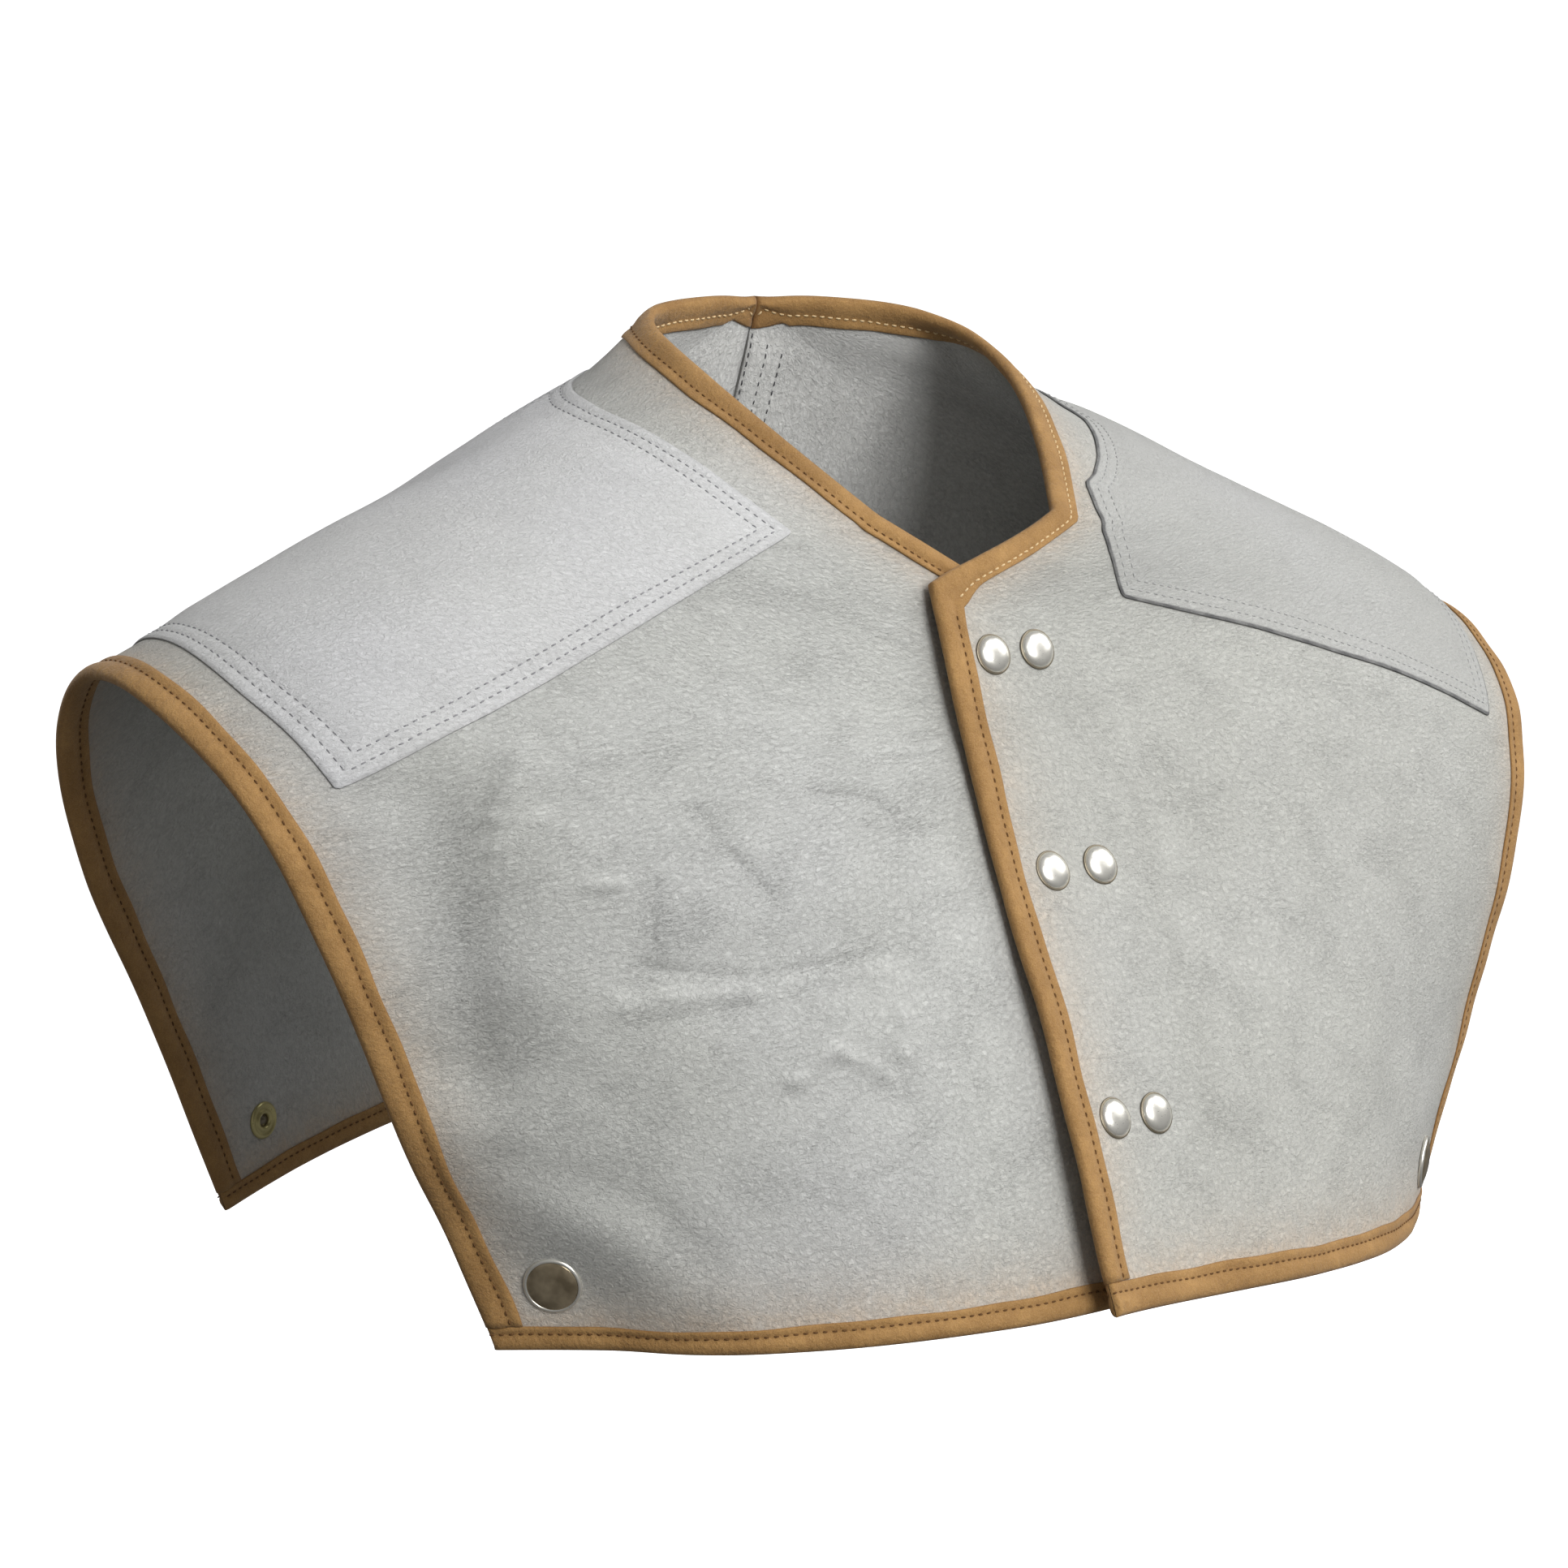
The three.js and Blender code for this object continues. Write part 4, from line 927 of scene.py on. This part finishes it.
def front_strip(half):
    """The strip up the front edge, around the corner and along the neck to the centre back."""
    corner = float(FRONT_NECK_ROW)
    front, neck = hem_cover(half, "front"), float(BACK_NECK_ROW)
    rise = spaced(half, 0.0, np.linspace(front, corner - CORNER_REST, SHORT_SAMPLES))[1]
    turn = np.linspace(corner - CORNER_TURN, corner + CORNER_TURN, CORNER_FAN)
    sweep = spaced(half, 0.0, np.linspace(corner + CORNER_REST, neck, LONG_SAMPLES))[1]
    fan = slice(len(rise), len(rise) + CORNER_FAN)
    own = np.concatenate([half.band_share(0, rise, front, corner), np.zeros(CORNER_FAN),
                          half.band_share(0, sweep, corner, neck)])
    v = np.concatenate([rise, turn, sweep])
    mitre = max(own[fan.start - 1], own[fan.stop])
    inner_u = own + (mitre - own) * smoothstep(1 - np.abs(v - corner) / MITRE_ROWS)
    inner_u[fan] = mitre
    inner_v = v.copy()
    seam_end = BACK_NECK_ROW + half.neck_band
    edge, normal = half.at(0, v), half.normal(0, v)
    inward = unit(np.cross(np.gradient(edge, axis=0), normal)) * half.sign
    for k in np.flatnonzero(v > SQUARE_FROM):
        start = (inner_u[k], v[k]) if v[k] < BACK_NECK_ROW - SEAM_ROWS else (SEAM_PLACE, seam_end)
        inner_u[k], inner_v[k] = below(half, edge[k] + inward[k] * BINDING_WIDTH, normal[k], start)
    inner_u[-1], inner_v[-1] = 0.0, seam_end

    def place(reach):
        part = reach / BINDING_WIDTH
        return inner_u * part, v + (inner_v - v) * part

    strip = Strip("front_neck", half, place, corner=fan, join=NECK_JOIN[half.name])
    strip.front, strip.neck = v < corner - CORNER_UNSEWN, v > corner + CORNER_UNSEWN
    return strip


def side_strip(half):
    first, last = hem_cover(half, "front"), LAST_ROW - hem_cover(half, "back")
    v = spaced(half, 1.0, np.linspace(first, last, LONG_SAMPLES))[1]
    share = half.band_share(1, v, first, last)
    return Strip("side", half, lambda reach: (1 - share * reach / BINDING_WIDTH, v))


def hem_strip(half, end):
    """The strip along the front or back hem, with round ends except at the centre back."""
    row, inward = (0, 1) if end == "front" else (LAST_ROW, -1)
    band = inward * half.hem_band[end] * HEM_SHARE[half.name][end]
    u = spaced(half, np.linspace(HEM_INSET, 1 - HEM_INSET, SHORT_SAMPLES), float(row))[0]
    inside, share = np.array(HEM_END).T
    past = (HEM_PAST - inside) / PANEL_WIDTH
    thin = np.concatenate([share if end == "front" else [1.0], np.ones_like(u), share[::-1]])
    u = np.concatenate([-past if end == "front" else [0.0], u, 1 + past[::-1]])
    return Strip(f"{end}_hem", half, lambda reach: np.broadcast_arrays(u, row + band * reach / BINDING_WIDTH),
                 thin=thin)


STRIP_NODES = {"front_neck": ["front", "neck"]}  # the other strips replace one node each
strips = {half.name: {
    "front_neck": front_strip(half), "side": side_strip(half),
    "front_hem": hem_strip(half, "front"), "back_hem": hem_strip(half, "back"),
} for half in HALVES}
binding_pieces = {
    name: [strip.piece([f"{node}_binding_{name}" for node in STRIP_NODES.get(edge, [edge])])
           for edge, strip in row.items()]
    for name, row in strips.items()}


# Stitches
# along: share of the stitch's length, rise and girth: shares of the thread's radius

STITCH_FORM = [
    dict(along=-0.36, rise=0.0, girth=0.85), dict(along=0.0, rise=0.55, girth=1.0),
    dict(along=0.36, rise=0.0, girth=0.85),
]
STITCH_END = dict(along=0.5, rise=-0.9)
THREAD_SIDES = 6
STITCH_SLOPE = 0.3
STITCH_TURN = 0.06
PAD_STITCH = dict(pitch=3.6, length=2.3, radius=0.3)
BINDING_STITCH = dict(pitch=3.3, length=2.1, radius=0.34)
NECK_STITCH = dict(pitch=3.3, length=2.3, radius=0.38)
SEAM_STITCH = dict(pitch=3.8, length=2.5, radius=0.32)
SEAM_FOLD_STITCH = dict(pitch=3.8, length=2.2, radius=0.28)
SEAM_ROWS_SEWN = (1.6,)
SEAM_FOLD_ROWS = (9.0, 16.0)
SEAM_ROW_FROM = 0.95
SEAM_SAMPLES = 200


def stitch_piece(name, rows, thread, slot, pitch, length, radius):
    """One piece for all the stitches of the rows, each a short arched thread with closed ends."""
    draw = np.random.default_rng(len(name))
    centres, runs, ups = [], [], []
    for points, normals in rows:
        along = path_length(points)
        places = np.arange(pitch / 2, along[-1] - pitch / 4, pitch)

        def pick(at, table):
            return np.stack([np.interp(at, along, column) for column in table.T], 1)

        centres.append(pick(places, points))
        runs.append(pick(places + STITCH_SLOPE, points) - pick(places - STITCH_SLOPE, points))
        ups.append(pick(places, normals))
    centre, run, up = (np.concatenate(x) for x in (centres, runs, ups))
    up = unit(up)
    run = unit(run - up * dot(run, up))
    turn = draw.normal(0, STITCH_TURN, (len(run), 1))
    side = np.cross(up, run)
    run, side = unit(run + side * turn), unit(side - run * turn)
    angle = np.arange(THREAD_SIDES) / THREAD_SIDES * 2 * np.pi
    rings = [(length * f["along"], radius * f["girth"] * math.cos(a),
              radius * (f["rise"] + f["girth"] * math.sin(a))) for f in STITCH_FORM for a in angle]
    ends = [(sign * length * STITCH_END["along"], 0, radius * STITCH_END["rise"]) for sign in (-1, 1)]
    form = np.array(rings + ends)
    index, turned, faces = tube(len(STITCH_FORM), THREAD_SIDES)
    faces += [[a, b, len(rings)] for a, b in zip(turned[0], index[0])]
    faces += [[a, b, len(rings) + 1] for a, b in zip(index[-1], turned[-1])]
    faces = outward(form, faces)
    points = (centre[:, None] + run[:, None] * form[None, :, :1] + side[:, None] * form[None, :, 1:2]
              + up[:, None] * form[None, :, 2:])
    starts = range(0, len(centre) * len(form), len(form))
    all_faces = [[k + start for k in face] for start in starts for face in faces]
    return add_piece(name, points.reshape(-1, 3), all_faces, thread)


def seam_row(distance, side):
    """A stitch row beside the centre back seam of the left half, outside (side 1) or inside (side -1)."""
    v = np.linspace(BACK_NECK_ROW + SEAM_ROW_FROM * LEFT.neck_band, LAST_ROW - LEFT.hem_band["back"],
                    SEAM_SAMPLES)
    u = distance / LEFT.span((0, BACK_MID_ROW), (EDGE_STEP, BACK_MID_ROW)) * EDGE_STEP
    height = LEATHER_TOP if side > 0 else -LEATHER_TOP - seam_fold(v)
    return LEFT.lifted(u, v, height), LEFT.normal(u, v) * side


for half in HALVES:
    name, pad, edges = half.name, pads[half.name], strips[half.name]
    rows = [pad.stitch_row(which, inset) for which in ("front", "inner", "outer", "back")
            for inset in PAD_STITCH_ROWS]
    stitch_piece(
        f"pad_stitches_{name}", rows, PAD_THREAD[name], "suede", **PAD_STITCH)
    front = edges["front_neck"]
    # The binding rows take the thread painted in shade, the lit neck rows the thread painted lit
    shaded_rows = [edges[edge].stitch_row(side) for edge in ("side", "front_hem", "back_hem") for side in (1, -1)]
    shaded_rows += [front.stitch_row(side, front.front) for side in (1, -1)]
    lit_rows = [front.stitch_row(-1, front.neck)]
    (lit_rows if half is LEFT else shaded_rows).append(front.stitch_row(1, front.neck))
    stitch_piece(
        f"binding_stitches_{name}", shaded_rows, SHADED_THREAD, "tan_leather", **BINDING_STITCH)
    stitch_piece(
        f"neck_stitches_{name}", lit_rows, LIT_THREAD, "tan_leather", **NECK_STITCH)
for name, distances, size in (("seam_stitches", SEAM_ROWS_SEWN, SEAM_STITCH),
                              ("seam_fold_stitches", SEAM_FOLD_ROWS, SEAM_FOLD_STITCH)):
    rows = [seam_row(distance, side) for distance in distances for side in (1, -1)]
    stitch_piece(name, rows, DARK_THREAD, "suede", **size)


# Snaps and eyelets: turned pieces, as closed profiles of radius and height in millimetres

TURNED_SIDES = 56
TOP = LEATHER_TOP + SEAT_GAP
UNDER = -TOP
STUD_SEARCH = 0.1

# The pieces that replace each node: name, height of its base, metal and profile
SNAPS = {
    "front_snap_cap": [
        ("small_cap_rim", TOP, SHADE_NICKEL, [
            (6.4, 0), (7.2, 0.05), (7.5, 0.35), (7.4, 0.7), (7.0, 0.85), (6.6, 0.7)]),
        ("small_cap_dome", TOP, NICKEL, [
            (0, 0.1), (6.6, 0.1), (6.8, 0.65), (6.65, 1.2), (6.1, 1.75), (5.2, 2.3), (4.1, 2.7),
            (2.6, 3.0), (1.2, 3.12), (0, 3.15)]),
        ("cap_socket", UNDER, NICKEL, [
            (0, -1.5), (4.5, -1.5), (4.9, -1.3), (5, -1.0), (5, -0.2), (4.8, 0), (0, 0)]),
    ],
    "front_snap_stud": [
        ("stud_flange", UNDER, NICKEL, [
            (0, -1.0), (4.4, -1.0), (4.85, -0.8), (5, -0.5), (4.9, -0.1), (4.6, 0), (0, 0)]),
        ("stud_head", TOP, NICKEL, [
            (0, 0), (3.9, 0), (4.0, 0.4), (3.7, 0.8), (3.5, 1.3), (0, 1.6)]),
    ],
    "side_snap_cap": [
        ("large_cap_rim", TOP, NICKEL, [
            (8.7, 0.1), (9.2, 0), (9.8, 0.2), (10, 0.75), (9.85, 1.3), (9.45, 1.65), (9.0, 1.72),
            (8.7, 1.6)]),
        ("large_cap_dome", TOP, REFLECTION_NICKEL, [
            (0, 0.1), (8.65, 0.1), (8.65, 1.5), (8.3, 1.62), (7.4, 1.98), (5.8, 2.4), (3.8, 2.75),
            (1.8, 2.95), (0, 3.0)]),
        ("side_socket", UNDER, NICKEL, [
            (0, -0.8), (2.9, -0.8), (3.3, -1.0), (3.5, -1.4), (3.5, -2.2), (3.8, -2.55), (4.6, -2.6),
            (5.6, -2.4), (6.2, -1.9), (6.5, -1.2), (6.5, -0.3), (6.2, 0), (0, 0)]),
    ],
    "back_stud": [
        ("stud_back", TOP, NICKEL, [
            (0, 0), (6.1, 0), (6.5, 0.3), (6.4, 0.7), (5.9, 1.0), (3.4, 1.1), (2.7, 1.4), (2.6, 1.9),
            (3.0, 2.5), (3.2, 2.9), (3.0, 3.5), (2.4, 3.8), (0, 3.8)]),
        ("rivet", UNDER, SHADE_NICKEL, [
            (0, -0.75), (1.2, -0.65), (1.5, -0.25), (2.3, -0.2), (2.3, 0), (0, 0)]),
    ],
    "back_eyelet": [
        ("eyelet_ring", UNDER, BRASS, [
            (2.4, 1.9), (2.4, -0.6), (2.7, -1.05), (3.2, -1.3), (3.9, -1.2), (4.3, -0.75), (4.8, -0.6),
            (5.3, -0.85), (5.8, -1.1), (6.4, -0.95), (7.0, -0.4), (6.9, 0), (2.9, 0), (2.9, 1.9)]),
    ],
}


def turned_piece(name, profile, centre, axis, material, replaces):
    """A turned piece from a closed profile, standing on a point along an axis."""
    across = unit(np.cross(axis, (0.0, 0.0, 1.0)))
    beside = np.cross(axis, across)
    circle = [across * math.cos(a) + beside * math.sin(a)
              for a in np.arange(TURNED_SIDES) / TURNED_SIDES * 2 * np.pi]
    points, rings = [], []
    for radius, height in profile:
        if radius == 0:
            rings.append([len(points)] * TURNED_SIDES)
            points.append(centre + axis * height)
            continue
        rings.append(list(range(len(points), len(points) + TURNED_SIDES)))
        points += [centre + axis * height + radius * arm for arm in circle]
    faces = []
    loop = rings if profile[0][0] == 0 else rings + rings[:1]
    for low, high in zip(loop, loop[1:]):
        for k in range(TURNED_SIDES):
            n = (k + 1) % TURNED_SIDES
            face = [low[k], low[n], high[n], high[k]]
            faces.append(list(dict.fromkeys(face)))
    points = np.array(points)
    return add_piece(name, points, outward(points, faces), material, replaces=[replaces])


def snap(node, end, half, place):
    """All the turned pieces of one node, seated at a place on a half."""
    centre, axis = half.at(*place), half.normal(*place)
    for name, base, metal, profile in SNAPS[node]:
        turned_piece(f"{name}_{end}", [(radius, base + height) for radius, height in profile], centre, axis,
                     metal, f"{node}_{end}")


for number, place in FRONT_SNAPS.items():
    snap("front_snap_cap", number, LEFT, place)
    under = below(RIGHT, LEFT.at(*place), LEFT.normal(*place), (STUD_SEARCH, place[1]))
    snap("front_snap_stud", number, RIGHT, under)
for half in HALVES:
    snap("side_snap_cap", half.name, half, SIDE_SNAPS[half.name])
    snap("back_stud", half.name, half, BACK_SNAP)
    snap("back_eyelet", half.name, half, BACK_SNAP)


# A loop over the halves that only takes each half's name

for half in HALVES:
    name = half.name


# Floor, light and camera, in metres

FLOOR_LEVEL = -0.75
FLOOR_REACH = 40.0
WALL_START = 4.0
WALL_CURVE = 1.6
WALL_HEIGHT = 6.0
CURVE_STEPS = 13
CAMERA_AZIMUTH = -36.0
CAMERA_ELEVATION = 6.1
CAMERA_TARGET = Vector((-0.015, 0.008, -0.150))
CAMERA_DISTANCE = 1.664
FOCAL_SHARE = 5497 / 1932
SENSOR = 36.0
CLIP_END = 50.0
DOME_DIRECTION = (0.12, -0.62, 0.775)
DOME_RANGE = (-0.5, 0.95, 0.13, 0.3)
MIDDLE = (0, 0, -0.1)
LIGHTS = [
    dict(name="front", place=(-0.05, -2.2, 0.9), size=1.2, watts=43),
    dict(name="key", place=(0.84, -1.32, 1.72), size=0.9, watts=12),
    dict(name="side", place=(1.9, -0.7, 1.15), size=1.2, watts=17),
    dict(name="back", place=(-0.7, 2.3, 0.5), size=1.2, watts=22, target=(0, 0.05, -0.15)),
]
scene = bpy.context.scene


def studio_floor():
    """A pale floor that curves up into a back wall, square to the photo's camera."""
    turns = np.linspace(0, math.pi / 2, CURVE_STEPS)
    profile = [(-FLOOR_REACH, FLOOR_LEVEL)]
    profile += [(WALL_START + WALL_CURVE * math.sin(a), FLOOR_LEVEL + WALL_CURVE * (1 - math.cos(a)))
                for a in turns]
    profile += [(WALL_START + WALL_CURVE, FLOOR_LEVEL + WALL_HEIGHT)]
    azimuth = math.radians(CAMERA_AZIMUTH)
    away = Vector((-math.sin(azimuth), math.cos(azimuth), 0))
    beside = Vector((away.y, -away.x, 0))
    points = [away * y + beside * x + Vector((0, 0, z))
              for y, z in profile for x in (-FLOOR_REACH, FLOOR_REACH)]
    faces = [(2 * k, 2 * k + 1, 2 * k + 3, 2 * k + 2) for k in range(len(profile) - 1)]
    mesh = bpy.data.meshes.new("studio_floor")
    mesh.from_pydata(points, [], faces)
    mesh.polygons.foreach_set("use_smooth", np.ones(len(faces), bool))
    m = Nodes("pale_floor")
    shade = m.mix(m.noise(m.place, 3, 2), (0.93, 0.93, 0.93), (0.96, 0.96, 0.96))
    mesh.materials.append(m.finish(Base_Color=shade, Roughness=0.9, Emission_Color=(1, 1, 1),
                                   Emission_Strength=0.9))
    floor = bpy.data.objects.new("studio_floor", mesh)
    scene.collection.objects.link(floor)
    floor.visible_diffuse = False
    floor.visible_glossy = False


def soft_light(name, place, size, watts, target=MIDDLE):
    data = bpy.data.lights.new(name, "AREA")
    data.shape = "RECTANGLE"
    data.size = data.size_y = size
    data.energy = watts
    light = bpy.data.objects.new(name, data)
    light.location = place
    light.visible_camera = False
    light.rotation_mode = "QUATERNION"
    light.rotation_quaternion = (Vector(target) - Vector(place)).to_track_quat("-Z", "Y")
    scene.collection.objects.link(light)


def photo_camera():
    azimuth, elevation = math.radians(CAMERA_AZIMUTH), math.radians(CAMERA_ELEVATION)
    back = Vector((math.sin(azimuth) * math.cos(elevation), -math.cos(azimuth) * math.cos(elevation),
                   math.sin(elevation)))
    data = bpy.data.cameras.new("photo_camera")
    data.sensor_width = SENSOR
    data.sensor_fit = "HORIZONTAL"
    data.lens = FOCAL_SHARE * SENSOR
    data.clip_end = CLIP_END
    camera = bpy.data.objects.new("photo_camera", data)
    camera.location = CAMERA_TARGET + back * CAMERA_DISTANCE
    camera.rotation_mode = "QUATERNION"
    camera.rotation_quaternion = (-back).to_track_quat("-Z", "Y")
    scene.collection.objects.link(camera)
    scene.camera = camera


def studio_world():
    """A soft white dome, brightest towards the upper front and dark below."""
    world = bpy.data.worlds.new("studio")
    world.use_nodes = True
    tree = world.node_tree
    direction = tree.nodes.new("ShaderNodeTexCoord").outputs["Generated"]
    toward = tree.nodes.new("ShaderNodeVectorMath")
    toward.operation = "DOT_PRODUCT"
    toward.inputs[1].default_value = DOME_DIRECTION
    tree.links.new(direction, toward.inputs[0])
    fade = tree.nodes.new("ShaderNodeMapRange")
    fade.interpolation_type = "SMOOTHSTEP"
    for key, value in zip(("From Min", "From Max", "To Min", "To Max"), DOME_RANGE):
        fade.inputs[key].default_value = value
    tree.links.new(toward.outputs["Value"], fade.inputs["Value"])
    tree.links.new(fade.outputs["Result"], tree.nodes["Background"].inputs["Strength"])
    tree.nodes["Background"].inputs["Color"].default_value = (1.0, 1.0, 1.0, 1)
    scene.world = world


photo_camera()
studio_floor()
studio_world()
for light in LIGHTS:
    soft_light(**light)
scene.view_settings.view_transform = "Standard"
scene.view_settings.look = "None"
